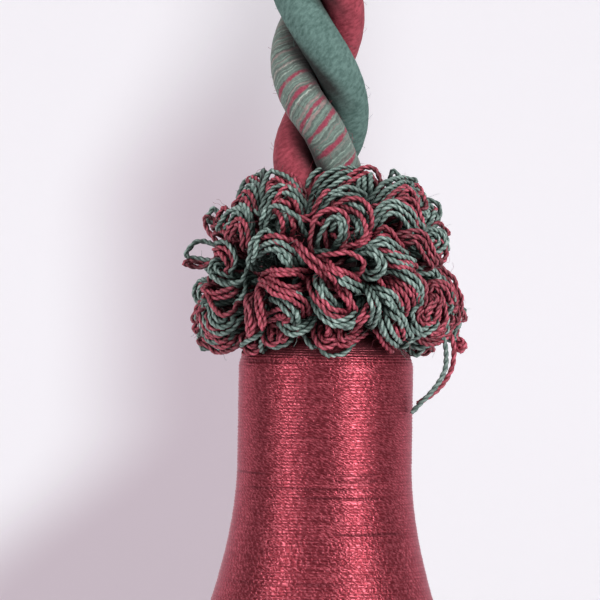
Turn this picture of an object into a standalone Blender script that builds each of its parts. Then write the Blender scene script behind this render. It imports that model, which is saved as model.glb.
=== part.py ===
"""Curtain tieback tassel: a three-strand rope with a hanging eye, a ruff of yarn loops,
a head wound with thread, and a skirt of strands. It hangs straight down from the origin."""

import math
import random

import bmesh
import bpy
from mathutils import Vector

MM = 0.001

# ---------------------------------------------------------------- driving dimensions (mm)
GAP = 0.3                    # clearance kept between touching pieces

ROPE_LAY = 39.4              # length of one full turn of the rope, laid left-handed
STRAND_RADIUS = 2.85
STRAND_OFFSET = 3.8          # from the rope's middle to a strand's middle
ROPE_RADIUS = STRAND_OFFSET + STRAND_RADIUS
STRAND_SIDES = 6
STEPS_PER_TURN = 10
GREEN_IN_FRONT = 44.05       # height over the head where the green strand crosses the front
ROPE_SHIFT = -1.3            # the rope comes out of the head a little left of its middle

HEAD_TOP = -161.6            # height of the head's top under the hanging point
NECK_RADIUS = 12.8
NECK_LENGTH = 17.0           # straight part of the head, over the flare
HEAD_LENGTH = 53.0
FLARE_REACH = 9.6            # how far the bell's rim stands out past the neck
FLARE_POWER = 1.75
LIP_ROUND = 1.6
SHOULDER_ROUND = 1.8
HEAD_SIDES = 32

SEIZING_LENGTH = 14.0
SEIZING_WALL = 1.2
SEIZING_MIDDLE = -72.4       # height of the seizing's middle
LEG_SPREAD = 6.85            # the eye's two legs stand this far either side of the middle

SLEEVE_RADIUS = 9.2          # outer wall of the ruff's backing
SLEEVE_BORE = ROPE_RADIUS + 0.35
SLEEVE_HEIGHT = 22.0
LOOPS_AROUND = 18
YARN_HALF = 0.56             # half the side of a loop's square section
LOOP_STEPS = 8
LOOP_CLEARANCE = 1.72        # least distance between the middles of two yarns
LOOP_TRIES = 60
LOOSE_END_STEP = 2.6

# One row for each tier of loops: where its crowns stand, and how wide its loops are.
# crown height over the head (mm), crown radius (mm), loop width (mm)
TIERS = (
    (0.8, 17.6, 4.2),
    (4.6, 18.8, 4.6),
    (9.0, 18.6, 4.6),
    (13.8, 17.8, 4.6),
    (18.8, 15.6, 4.4),
    (23.8, 12.4, 4.0),
)

# Loose yarn ends at the right of the ruff: cell of the backing, then the points it passes (mm),
# x to the right, y to the back, z over the head's top.
LOOSE_ENDS = (
    ((35, 1), ((14.6, -3.2, 3.6), (18.2, -3.6, 1.4), (18.3, -3.4, -2.2), (15.6, -3.3, -6.4),
               (13.3, -3.4, -8.9))),
    ((1, 3), ((15.2, 1.2, 5.4), (19.0, 0.8, 3.2), (20.0, 0.4, 0.4))),
)

RING_OUTER = 21.6            # heading ring of the skirt
RING_INNER = 14.4
RING_HEIGHT = 1.8
SKIRT_AROUND = 50
SKIRT_ROWS = 3
SKIRT_LENGTH = 84.0
SKIRT_UNEVEN = 3.0
SKIRT_DRAW_IN = 0.93         # share of its radius that a strand keeps at its lower end
SKIRT_STEPS = 3
SKIRT_ROOT = 0.7             # a strand narrows from its root over this share of its first step
SKIRT_STRAND_HALF = 0.85

# The rope's route, x and z in mm under the hanging point: up from the head, over to one side,
# through the seizing, round the eye and back into the seizing.
ROPE_ROUTE = (
    (ROPE_SHIFT, HEAD_TOP + GAP), (ROPE_SHIFT, -152.0), (ROPE_SHIFT, -142.0), (-1.35, -136.0),
    (-1.0, -130.5), (-1.5, -125.5), (-1.9, -119.5), (-2.15, -112.0), (-2.9, -103.0), (-4.4, -94.0),
    (-6.2, -86.0),
    (-LEG_SPREAD, -79.4), (-LEG_SPREAD, -72.0), (-LEG_SPREAD, -65.3), (-9.4, -53.4),
    (-17.4, -43.3), (-25.4, -33.2), (-28.0, -21.4), (-24.2, -7.4), (-14.0, 2.9),
    (0.0, ROPE_RADIUS), (14.0, 2.9), (24.2, -7.4), (28.0, -21.4), (25.4, -33.2), (17.4, -43.3),
    (9.4, -53.4), (LEG_SPREAD, -65.3), (LEG_SPREAD, -72.0), (LEG_SPREAD, -79.0),
)

BURGUNDY = (0.262, 0.031, 0.048)
GREEN = (0.141, 0.223, 0.195)
BANDED = (0.190, 0.130, 0.125)
RUFF_MIX = (0.220, 0.110, 0.110)
THREAD = (0.290, 0.038, 0.052)


# ---------------------------------------------------------------- common helpers
def clear_scene():
    for item in list(bpy.data.objects):
        bpy.data.objects.remove(item, do_unlink=True)


def yarn_material(name, colour, roughness):
    material = bpy.data.materials.new(name)
    material.use_nodes = True
    shader = material.node_tree.nodes["Principled BSDF"]
    shader.inputs["Base Color"].default_value = (*colour, 1.0)
    shader.inputs["Roughness"].default_value = roughness
    shader.inputs["Metallic"].default_value = 0.0
    return material


def mesh_object(name, points_mm, faces, material, smooth=True):
    """One closed piece from points in millimetres; its origin stays at the hanging point."""
    mesh = bpy.data.meshes.new(name)
    mesh.from_pydata([Vector(point) * MM for point in points_mm], [], faces)
    mesh.materials.append(material)
    if smooth:
        mesh.shade_smooth()
    piece = bpy.data.objects.new(name, mesh)
    bpy.context.scene.collection.objects.link(piece)
    return piece


def spline_point(points, place):
    """Catmull-Rom curve through the points; place counts them, 1.5 is between 1 and 2."""
    index = min(int(place), len(points) - 2)
    t = place - index
    p1, p2 = points[index], points[index + 1]
    p0 = points[index - 1] if index > 0 else p1 * 2 - p2
    p3 = points[index + 2] if index + 2 < len(points) else p2 * 2 - p1
    return 0.5 * (2 * p1 + (p2 - p0) * t + (2 * p0 - 5 * p1 + 4 * p2 - p3) * t * t
                  + (3 * p1 - p0 - 3 * p2 + p3) * t ** 3)


def smooth_route(points, step):
    """Points about one step apart along a smooth curve through the given ones."""
    fine = 24
    dense = [spline_point(points, i / fine) for i in range((len(points) - 1) * fine + 1)]
    lengths = [0.0]
    for before, after in zip(dense, dense[1:]):
        lengths.append(lengths[-1] + (after - before).length)
    count = max(2, round(lengths[-1] / step))
    route, index = [], 0
    for i in range(count + 1):
        target = lengths[-1] * i / count
        while index < len(dense) - 2 and lengths[index + 1] < target:
            index += 1
        share = (target - lengths[index]) / max(lengths[index + 1] - lengths[index], 1e-9)
        route.append(dense[index].lerp(dense[index + 1], min(share, 1.0)))
    return route, lengths[-1]


def tangents(route):
    last = len(route) - 1
    return [(route[min(i + 1, last)] - route[max(i - 1, 0)]).normalized() for i in range(last + 1)]


def tube_faces(first, sides, rings):
    faces = []
    for ring in range(rings - 1):
        for side in range(sides):
            a = first + ring * sides + side
            b = first + ring * sides + (side + 1) % sides
            faces.append((a, b, b + sides, a + sides))
    return faces


# ---------------------------------------------------------------- rope
def rope_strand(name, turn_share, material):
    """One strand of the rope: a round tube that winds left-handed about the route."""
    route, length = smooth_route([Vector((x, 0.0, z)) for x, z in ROPE_ROUTE],
                                 ROPE_LAY / STEPS_PER_TURN)
    along = tangents(route)
    step = length / (len(route) - 1)
    start = -math.pi / 2 + math.tau * (GREEN_IN_FRONT - GAP) / ROPE_LAY + math.tau * turn_share
    middles, outwards = [], []
    for i, (point, direction) in enumerate(zip(route, along)):
        angle = start - math.tau * i * step / ROPE_LAY
        side = Vector((direction.z, 0.0, -direction.x))
        outward = side * math.cos(angle) + Vector((0.0, 1.0, 0.0)) * math.sin(angle)
        middles.append(point + outward * STRAND_OFFSET)
        outwards.append(outward)
    points = []
    for i, (middle, direction) in enumerate(zip(middles, tangents(middles))):
        across = direction.cross(outwards[i]).normalized()
        lift = across.cross(direction).normalized()
        for side in range(STRAND_SIDES):
            turn = math.tau * side / STRAND_SIDES
            point = middle + (lift * math.cos(turn) + across * math.sin(turn)) * STRAND_RADIUS
            if i in (0, len(middles) - 1):
                # the rope is cut square to its own length, not to the strand's
                point += direction * ((route[i] - point).dot(along[i]) / direction.dot(along[i]))
            points.append(point)
    faces = tube_faces(0, STRAND_SIDES, len(middles))
    last = len(points) - STRAND_SIDES
    faces.append(tuple(reversed(range(STRAND_SIDES))))
    faces.append(tuple(range(last, last + STRAND_SIDES)))
    return mesh_object(name, points, faces, material)


def stadium(radius, height, sides=28):
    """Outline that goes round the eye's two legs at one height."""
    points = []
    for i in range(sides):
        turn = math.tau * (i + 0.5) / sides
        x = LEG_SPREAD if math.cos(turn) > 0 else -LEG_SPREAD
        points.append((x + radius * math.cos(turn), radius * math.sin(turn), height))
    return points


def eye_seizing(material):
    """Band of thread wound round both legs of the eye, open above and below."""
    bore = ROPE_RADIUS + GAP
    outer = bore + SEIZING_WALL
    low = SEIZING_MIDDLE - SEIZING_LENGTH / 2
    high = SEIZING_MIDDLE + SEIZING_LENGTH / 2
    edge = SEIZING_WALL / 2
    section = ((bore, low), (outer - edge, low), (outer, low + edge), (outer, high - edge),
               (outer - edge, high), (bore, high))
    rings = [stadium(radius, height) for radius, height in section]
    sides = len(rings[0])
    points = [point for ring in rings for point in ring]
    faces = []
    for k in range(len(rings)):
        for i in range(sides):
            j = (i + 1) % sides
            a, b = k * sides, (k + 1) % len(rings) * sides
            faces.append((a + i, a + j, b + j, b + i))
    return mesh_object("eye_seizing", points, faces, material)


# ---------------------------------------------------------------- wound head
def head_profile():
    """Radius and depth under the head's top, from the top's middle round to the base's middle."""
    profile = [(0.0, 0.0)]
    for i in range(5):
        turn = math.pi / 2 * i / 4
        profile.append((NECK_RADIUS - SHOULDER_ROUND * (1 - math.sin(turn)),
                        SHOULDER_ROUND * (1 - math.cos(turn))))
    flare_length = HEAD_LENGTH - NECK_LENGTH - LIP_ROUND
    for i in range(9):
        share = i / 8
        profile.append((NECK_RADIUS + FLARE_REACH * share ** FLARE_POWER,
                        NECK_LENGTH + flare_length * share))
    rim = NECK_RADIUS + FLARE_REACH
    for i in range(1, 5):
        turn = math.pi / 2 * i / 4
        profile.append((rim - LIP_ROUND * (1 - math.cos(turn)),
                        HEAD_LENGTH - LIP_ROUND + LIP_ROUND * math.sin(turn)))
    profile.append((0.0, HEAD_LENGTH))
    return profile


def wound_head(material):
    profile = head_profile()
    points = [(0.0, 0.0, HEAD_TOP)]
    for radius, depth in profile[1:-1]:
        for i in range(HEAD_SIDES):
            turn = math.tau * i / HEAD_SIDES
            points.append((radius * math.cos(turn), radius * math.sin(turn), HEAD_TOP - depth))
    points.append((0.0, 0.0, HEAD_TOP - HEAD_LENGTH))
    rings = len(profile) - 2
    faces = []
    for i in range(HEAD_SIDES):
        j = (i + 1) % HEAD_SIDES
        faces.append((0, 1 + i, 1 + j))
        last = 1 + (rings - 1) * HEAD_SIDES
        faces.append((len(points) - 1, last + j, last + i))
        for ring in range(rings - 1):
            a = 1 + ring * HEAD_SIDES
            b = a + HEAD_SIDES
            faces.append((a + i, b + i, b + j, a + j))
    return mesh_object("wound_head", points, faces, material)


# ---------------------------------------------------------------- loop ruff
def arch(start, crown, end, bulge):
    """Points of a loop from start through its crown to end; bulge pushes its sides apart."""
    reach = (crown - (start + end) / 2) * (4 / 3)
    first, second = start + reach + bulge, end + reach - bulge
    points = []
    for i in range(LOOP_STEPS + 1):
        t = i / LOOP_STEPS
        u = 1 - t
        points.append(start * u ** 3 + first * (3 * u * u * t) + second * (3 * u * t * t) + end * t ** 3)
    return points


def clear_of(points, others, distance):
    for other in others:
        for point in points:
            if any((point - spot).length_squared < distance * distance for spot in other):
                return False
    return True


def clear_of_head(points):
    """True where the yarn passes over the head's shoulder, or hangs outside its neck."""
    room = YARN_HALF * math.sqrt(2) + GAP
    return all(math.hypot(point.x, point.y) > NECK_RADIUS + room or point.z > HEAD_TOP + room
               for point in points)


def dense(points, parts=3):
    """The same line with more points, less its ends at the backing, for distance tests."""
    fine = [a.lerp(b, i / parts) for a, b in zip(points, points[1:]) for i in range(parts)]
    return fine[parts:-parts]


def backing_grid(columns, rows):
    """Points of the sleeve's outer wall, row by row from its foot."""
    grid = []
    for row in range(rows + 1):
        height = HEAD_TOP + GAP + SLEEVE_HEIGHT * row / rows
        for column in range(columns):
            turn = math.tau * (column + 0.5) / columns
            grid.append(Vector((SLEEVE_RADIUS * math.cos(turn), SLEEVE_RADIUS * math.sin(turn), height)))
    return grid


def cell_corners(column, row, columns):
    """Corner indices of a cell of the backing, counter-clockwise seen from outside."""
    a = row * columns + column % columns
    b = row * columns + (column + 1) % columns
    return (a, b, b + columns, a + columns)


def nearest_order(corners, points, spots):
    """Turn the corner order so that it meets the last ring with no twist."""
    orders = [corners[i:] + corners[:i] for i in range(len(corners))]
    return min(orders, key=lambda order: sum((points[c] - s).length_squared for c, s in zip(order, spots)))


def add_strand(points, faces, path, root, half, end_root=None):
    """Square-section strand from the root cell along path, to end_root's cell or a plain cap."""
    previous = list(root)
    centre = sum((points[c] for c in root), Vector()) / 4
    spread = [(points[c] - centre) for c in root]
    last_direction = (path[1] - path[0]).normalized()
    stop = len(path) - 1 if end_root else len(path)
    for i in range(1, stop):
        ahead = path[min(i + 1, len(path) - 1)]
        direction = (ahead - path[i - 1]).normalized()
        turn = last_direction.rotation_difference(direction)
        spread = [turn @ arm for arm in spread]
        last_direction = direction
        ring = []
        for arm in spread:
            flat = (arm - direction * arm.dot(direction)).normalized()
            ring.append(len(points))
            points.append(path[i] + flat * half * math.sqrt(2))
        faces.extend((previous[k], previous[(k + 1) % 4], ring[(k + 1) % 4], ring[k]) for k in range(4))
        previous = ring
    if end_root:
        ring = nearest_order(tuple(reversed(end_root)), points, [points[p] for p in previous])
        faces.extend((previous[k], previous[(k + 1) % 4], ring[(k + 1) % 4], ring[k]) for k in range(4))
    else:
        faces.append(tuple(previous))


def loop_ruff(material):
    """Sleeve with the loops and loose ends growing out of the cells of its outer wall."""
    pick = random.Random(11)
    columns, rows = LOOPS_AROUND * 2, len(TIERS) * 2
    points = backing_grid(columns, rows)
    used, faces, placed = set(), [], []

    def centre(cell):
        return sum((points[c] for c in cell_corners(*cell, columns)), Vector()) / 4

    for cell, route in LOOSE_ENDS:
        spots = [centre(cell)] + [Vector((x, y, HEAD_TOP + z)) for x, y, z in route]
        path, _ = smooth_route(spots, LOOSE_END_STEP)
        used.add(cell)
        add_strand(points, faces, path, cell_corners(*cell, columns), YARN_HALF)
        placed.append(dense(path)[1:] + path[-3:])

    for tier, (crown_height, crown_radius, width) in enumerate(TIERS):
        for k in range(LOOPS_AROUND):
            column, row = k * 2 + tier % 2, tier * 2
            diagonal = ((column, row), (column + 1, row + 1)), ((column, row + 1), (column + 1, row))
            level = ((column, row), (column + 1, row)), ((column, row + 1), (column + 1, row + 1))
            upright = ((column, row), (column, row + 1)), ((column + 1, row), (column + 1, row + 1))
            for attempt in range(LOOP_TRIES):
                first, last = pick.choice(diagonal + level + upright)
                first = (first[0] % columns, first[1])
                last = (last[0] % columns, last[1])
                shrink = 1.0 - 0.5 * attempt / LOOP_TRIES
                turn = math.tau * (column + 1.5 + pick.uniform(-0.7, 0.7)) / columns
                radius = crown_radius - pick.uniform(0.0, 1.0 + attempt * 0.05)
                height = HEAD_TOP + crown_height + pick.uniform(-1.0, 1.0)
                crown = Vector((radius * math.cos(turn), radius * math.sin(turn), height))
                start, end = centre(first), centre(last)
                across = (start - end).normalized()
                path = arch(start, crown, end, across * width * shrink)
                if {first, last} & used:
                    continue
                if clear_of_head(path) and clear_of(dense(path), placed, LOOP_CLEARANCE):
                    used.update((first, last))
                    placed.append(dense(path))
                    add_strand(points, faces, path, cell_corners(*first, columns), YARN_HALF,
                               cell_corners(*last, columns))
                    break
    print("ruff loops and ends:", len(placed))

    for row in range(rows):
        for column in range(columns):
            if (column, row) not in used:
                faces.append(cell_corners(column, row, columns))
    foot, top = 0, rows * columns
    bore = len(points)
    for height in (HEAD_TOP + GAP, HEAD_TOP + GAP + SLEEVE_HEIGHT):
        for column in range(columns):
            turn = math.tau * (column + 0.5) / columns
            points.append(Vector((ROPE_SHIFT + SLEEVE_BORE * math.cos(turn),
                                  SLEEVE_BORE * math.sin(turn), height)))
    for i in range(columns):
        j = (i + 1) % columns
        faces.append((foot + j, foot + i, bore + i, bore + j))
        faces.append((bore + j, bore + i, bore + columns + i, bore + columns + j))
        faces.append((bore + columns + j, bore + columns + i, top + i, top + j))
    return mesh_object("loop_ruff", points, faces, material)


# ---------------------------------------------------------------- skirt
def skirt(material):
    """Heading ring under the bell, with rows of strands hanging from its lower face."""
    pick = random.Random(23)
    top = HEAD_TOP - HEAD_LENGTH - GAP
    foot = top - RING_HEIGHT
    points = []
    for row in range(SKIRT_ROWS + 1):
        radius = RING_INNER + (RING_OUTER - RING_INNER) * row / SKIRT_ROWS
        for column in range(SKIRT_AROUND):
            turn = math.tau * column / SKIRT_AROUND
            points.append(Vector((radius * math.cos(turn), radius * math.sin(turn), foot)))
    upper = len(points)
    for radius in (RING_INNER, RING_OUTER):
        for column in range(SKIRT_AROUND):
            turn = math.tau * column / SKIRT_AROUND
            points.append(Vector((radius * math.cos(turn), radius * math.sin(turn), top)))
    faces = []
    for row in range(SKIRT_ROWS):
        for column in range(SKIRT_AROUND):
            a = row * SKIRT_AROUND + column
            b = row * SKIRT_AROUND + (column + 1) % SKIRT_AROUND
            root = (a, b, b + SKIRT_AROUND, a + SKIRT_AROUND)
            middle = sum((points[c] for c in root), Vector()) / 4
            length = SKIRT_LENGTH - RING_HEIGHT - pick.uniform(0.0, SKIRT_UNEVEN)
            path = [middle]
            for step in range(1, SKIRT_STEPS + 1):
                share = (step - SKIRT_ROOT) / (SKIRT_STEPS - SKIRT_ROOT)
                keep = 1.0 - (1.0 - SKIRT_DRAW_IN) * share
                path.append(Vector((middle.x * keep, middle.y * keep, foot - length * share)))
            add_strand(points, faces, path, root, SKIRT_STRAND_HALF)
    outer_foot = SKIRT_ROWS * SKIRT_AROUND
    for i in range(SKIRT_AROUND):
        j = (i + 1) % SKIRT_AROUND
        inner_top, outer_top = upper, upper + SKIRT_AROUND
        faces.append((j, i, inner_top + i, inner_top + j))
        faces.append((inner_top + j, inner_top + i, outer_top + i, outer_top + j))
        faces.append((outer_top + j, outer_top + i, outer_foot + i, outer_foot + j))
    return mesh_object("skirt", points, faces, material)


# ---------------------------------------------------------------- build
def face_outward(piece):
    """Point every face of a closed piece outwards."""
    shape = bmesh.new()
    shape.from_mesh(piece.data)
    bmesh.ops.recalc_face_normals(shape, faces=shape.faces)
    shape.to_mesh(piece.data)
    shape.free()


def main():
    clear_scene()
    thread = yarn_material("wound_thread", THREAD, 0.42)
    burgundy = yarn_material("burgundy_yarn", BURGUNDY, 0.6)
    green = yarn_material("green_yarn", GREEN, 0.85)
    banded = yarn_material("banded_yarn", BANDED, 0.8)
    mixed = yarn_material("ruff_yarn", RUFF_MIX, 0.8)
    pieces = [
        rope_strand("rope_strand_green", 0.0, green),
        rope_strand("rope_strand_burgundy", 1 / 3, burgundy),
        rope_strand("rope_strand_banded", -1 / 3, banded),
        eye_seizing(thread),
        wound_head(thread),
        loop_ruff(mixed),
        skirt(burgundy),
    ]
    for piece in pieces:
        face_outward(piece)


main()
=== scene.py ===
# %% [markdown]
# # A curtain tieback tassel
# A rope of three strands carries a ruff of yarn loops, a head wound with satin thread and a
# skirt of strands. The solids of the construction are loaded first and stay fixed. Each soft
# piece is then built in the place that its solid holds.

# %% Load the construction
import math
import random

import bmesh
import bpy
import numpy as np
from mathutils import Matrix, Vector


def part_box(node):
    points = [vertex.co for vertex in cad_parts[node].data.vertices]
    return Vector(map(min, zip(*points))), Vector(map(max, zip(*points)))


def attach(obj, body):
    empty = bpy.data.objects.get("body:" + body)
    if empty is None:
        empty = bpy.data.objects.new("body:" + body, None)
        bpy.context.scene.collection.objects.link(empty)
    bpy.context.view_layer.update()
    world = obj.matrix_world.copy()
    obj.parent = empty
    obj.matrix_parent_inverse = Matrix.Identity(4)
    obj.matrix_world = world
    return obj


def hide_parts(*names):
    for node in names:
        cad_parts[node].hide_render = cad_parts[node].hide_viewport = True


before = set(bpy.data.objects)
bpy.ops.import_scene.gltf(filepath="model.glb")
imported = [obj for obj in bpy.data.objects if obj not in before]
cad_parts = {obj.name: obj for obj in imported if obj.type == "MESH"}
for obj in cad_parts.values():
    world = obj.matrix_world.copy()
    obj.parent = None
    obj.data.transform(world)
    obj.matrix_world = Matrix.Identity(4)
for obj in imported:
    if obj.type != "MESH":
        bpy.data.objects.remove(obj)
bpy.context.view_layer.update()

MM = 0.001

# %% [markdown]
# ## Sizes, the head's top and length taken from the solids
# Every height is measured from the top of the wound head, because the ruff sits on it and the
# rope leaves it. Sizes are in millimetres until a mesh is made.

# %% Named sizes
HEAD_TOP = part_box("wound_head")[1][2] / MM
HEAD_LENGTH = HEAD_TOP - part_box("wound_head")[0][2] / MM
NECK_RADIUS = 12.8
NECK_LENGTH = 17.0            # straight part of the head, over the flare
FLARE_REACH = 9.6             # how far the bell's rim stands out past the neck
FLARE_POWER = 1.75            # over 1, so that the flare starts gently
LIP_ROUND = 1.6
SHOULDER_ROUND = 1.8

GAP = 0.3                     # clearance between the rope's foot and the head
ROPE_LAY = 39.4               # length of one full turn of the rope
STRAND_OFFSET = 3.8           # from the rope's middle to a strand's middle
STRAND_RADIUS = 3.0
GREEN_IN_FRONT = 44.05        # height over the head where the green strand crosses the front
ROPE_SHIFT = -1.3             # the rope comes out a little left of the head's middle

SLEEVE_RADIUS = 9.2
SLEEVE_HEIGHT = 22.0
YARN_DIAMETER = 0.83
HUB_HEIGHT = 9.0              # the ruff's middle, over the head's top
HUB_STRETCH = 1.08            # a height counts this much more than a width from there
FRONT = 270.0                 # the front, in degrees round the tassel
UP = Vector((0.0, 0.0, 1.0))
print("head top", round(HEAD_TOP, 2), "head length", round(HEAD_LENGTH, 2))


# %% Helpers for rounds and runs
def clamp(value, low=0.0, high=1.0):
    return max(low, min(high, value))


def degrees_apart(turn, middle):
    """How far a turn in radians lies from a middle in degrees, in degrees."""
    return abs((math.degrees(turn) - middle + 180.0) % 360.0 - 180.0)


def round_ring(radius, height, sides):
    """Points of a level circle round the tassel's middle."""
    turns = [math.tau * i / sides for i in range(sides)]
    return [(radius * math.cos(turn), radius * math.sin(turn), height) for turn in turns]


def ways_out(turn):
    """The way straight out from the tassel's middle at a turn, and the level way round it."""
    outward = Vector((math.cos(turn), math.sin(turn), 0.0))
    return outward, Vector((-math.sin(turn), math.cos(turn), 0.0))


def run_along(points):
    """The length run from the first point to each point."""
    run = [0.0]
    for a, b in zip(points, points[1:]):
        run.append(run[-1] + (b - a).length)
    return run

# %% [markdown]
# ## Shader maths as expressions
# A node tree for a formula is hard to read. A small class wraps a number socket and overloads
# the operators, so that `1 - mask * 0.5` adds its Math nodes by itself. All other nodes come
# from one method that sets a node's settings first and its sockets after.


# %% Nodes, Number and Finish
class Nodes:
    """A node tree in which a node is made with its settings and sockets at once."""

    def __init__(self, tree):
        self.tree = tree

    def put(self, socket, value):
        if isinstance(value, Number):
            value = value.socket
        if isinstance(value, bpy.types.NodeSocket):
            self.tree.links.new(value, socket)
        else:
            socket.default_value = value

    def node(self, kind, settings=None, sockets=None):
        node = self.tree.nodes.new(kind)
        for name, value in (settings or {}).items():
            setattr(node, name, value)
        for name, value in (sockets or {}).items():
            self.put(node.inputs[name], value)
        return node


class Number:
    """A number socket that can stand in an expression."""

    def __init__(self, finish, socket):
        self.finish = finish
        self.socket = socket

    def __add__(self, other):
        return self.finish.math("ADD", self, other)

    def __sub__(self, other):
        return self.finish.math("SUBTRACT", self, other)

    def __rsub__(self, other):
        return self.finish.math("SUBTRACT", other, self)

    def __mul__(self, other):
        return self.finish.math("MULTIPLY", self, other)

    def __truediv__(self, other):
        return self.finish.math("DIVIDE", self, other)

    def step(self, low, high):
        """0 under low, 1 over high, smooth between."""
        return self.finish.value("ShaderNodeMapRange", {"interpolation_type": "SMOOTHSTEP"},
                                 {"Value": self, "From Min": low, "From Max": high})


class Finish(Nodes):
    """A material under construction, with its Principled shader."""

    def __init__(self, name, **constants):
        self.material = bpy.data.materials.new(name)
        self.material.use_nodes = True
        super().__init__(self.material.node_tree)
        self.shader = self.tree.nodes["Principled BSDF"]
        for socket, value in constants.items():
            self.shader.inputs[socket.replace("_", " ")].default_value = value

    def value(self, kind, settings, sockets=None, output=0):
        return Number(self, self.node(kind, settings, sockets).outputs[output])

    def math(self, operation, first, second=0.0):
        return self.value("ShaderNodeMath", {"operation": operation}, {0: first, 1: second})

    def mix(self, factor, first, second):
        """A colour between first and second; colours are linear RGB."""
        node = self.node("ShaderNodeMix", {"data_type": "RGBA"})
        self.put(node.inputs[0], factor)
        for socket, colour in ((node.inputs[6], first), (node.inputs[7], second)):
            self.put(socket, (*colour, 1.0) if isinstance(colour, tuple) else colour)
        return node.outputs[2]

    def attribute(self, name):
        return self.value("ShaderNodeAttribute", {"attribute_name": name}, output="Fac")

    def place(self):
        return self.node("ShaderNodeTexCoord").outputs["Object"]

    def hub_way(self):
        """The way from the ruff's middle to the place that is shaded, stretched upwards."""
        lift = -(HEAD_TOP + HUB_HEIGHT) * HUB_STRETCH * MM
        way = self.node("ShaderNodeVectorMath", {"operation": "MULTIPLY_ADD"},
                        {0: self.place(), 1: (1.0, 1.0, HUB_STRETCH), 2: (0.0, 0.0, lift)})
        return way.outputs[0]

    def from_hub(self):
        """Distance from the ruff's middle in metres, even over egg-shaped surfaces round it."""
        return self.value("ShaderNodeVectorMath", {"operation": "LENGTH"}, {0: self.hub_way()}, "Value")

    def facing_out(self):
        """1 where the surface faces straight out of the ruff, 0 on a yarn's flanks."""
        way = self.node("ShaderNodeVectorMath", {"operation": "NORMALIZE"}, {0: self.hub_way()})
        normal = self.node("ShaderNodeNewGeometry").outputs["Normal"]
        return self.value("ShaderNodeVectorMath", {"operation": "DOT_PRODUCT"},
                          {0: way.outputs[0], 1: normal}, "Value")

    def noise(self, scale, detail, place=None, roughness=0.5):
        sockets = {"Vector": place or self.place(), "Scale": scale, "Detail": detail}
        return self.value("ShaderNodeTexNoise", {"noise_dimensions": "3D"},
                          {**sockets, "Roughness": roughness})

    def wrapped_noise(self, scale, stray):
        """Noise that changes only from one wrapping turn of a strand to the next."""
        return self.value("ShaderNodeTexNoise", {"noise_dimensions": "1D"},
                          {"W": self.attribute("wrap") + stray, "Scale": scale, "Detail": 2.0})

    def streaks(self, along, across):
        """Noise drawn out round a strand; along and across are its steps per mm."""
        spot = self.node("ShaderNodeCombineXYZ", None,
                         {0: self.attribute("wrap") * along, 1: self.attribute("around") * across})
        return self.noise(1.0, 3.0, spot.outputs[0], 0.6)

    def bump(self, height, strength, distance):
        sockets = {"Height": height, "Strength": strength, "Distance": distance}
        return self.node("ShaderNodeBump", None, sockets).outputs["Normal"]

    def feed(self, **links):
        for socket, value in links.items():
            self.put(self.shader.inputs[socket.replace("_", " ")], value)
        return self.material


# %% [markdown]
# ## Colours
# The tassel has two dyes only: burgundy and a greyed green. The rope's soft yarns look duller
# than the hard twisted yarns of the ruff, and the satin thread of the head is the brightest.

# %% Dyes, painted highlights and painted shade, as linear RGB
BURGUNDY_DEEP = (0.042, 0.005, 0.008)
BURGUNDY = (0.246, 0.022, 0.038)
BURGUNDY_HIGHLIGHT = (0.640, 0.128, 0.186)
THREAD_SHADE = (0.060, 0.010, 0.014)
THREAD_DEEP = (0.118, 0.011, 0.017)
THREAD = (0.270, 0.037, 0.052)
THREAD_HIGHLIGHT = (0.560, 0.125, 0.160)
GREEN_DEEP = (0.016, 0.027, 0.023)
GREEN = (0.112, 0.180, 0.155)
GREEN_HIGHLIGHT = (0.390, 0.500, 0.457)
OPEN_GREEN = (0.080, 0.126, 0.111)
OPEN_GREEN_HIGHLIGHT = (0.260, 0.330, 0.300)
ROPE_GREEN = (0.049, 0.092, 0.081)
ROPE_GREEN_LIGHT = (0.124, 0.203, 0.182)
ROPE_BURGUNDY = (0.150, 0.017, 0.027)
ROPE_BURGUNDY_LIGHT = (0.350, 0.056, 0.080)
BANDED_DEEP = (0.072, 0.086, 0.077)
BANDED = (0.150, 0.215, 0.183)
BANDED_PALE = (0.360, 0.410, 0.360)
BANDED_PINK = (0.290, 0.165, 0.165)
BAND_DEEP = (0.100, 0.012, 0.024)
BAND = (0.360, 0.055, 0.095)
SHADOW_DARK = (0.018, 0.010, 0.011)

# %% [markdown]
# ## Fibre finishes
# Yarn is a bundle of fine fibres, so its colour wanders a little along each yarn and its
# surface is never smooth. A tone stored on each yarn makes neighbours differ, and a fine noise
# bump breaks the light up.


# %% Yarn finish
# The ruff's yarns get full painted shade inside the first distance and none past the second.
RUFF_DEPTH = (0.0110, 0.0172)  # metres from the ruff's middle to its dark inside and lit outside
FIBRE_RELIEF = 0.00010        # metres


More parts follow.
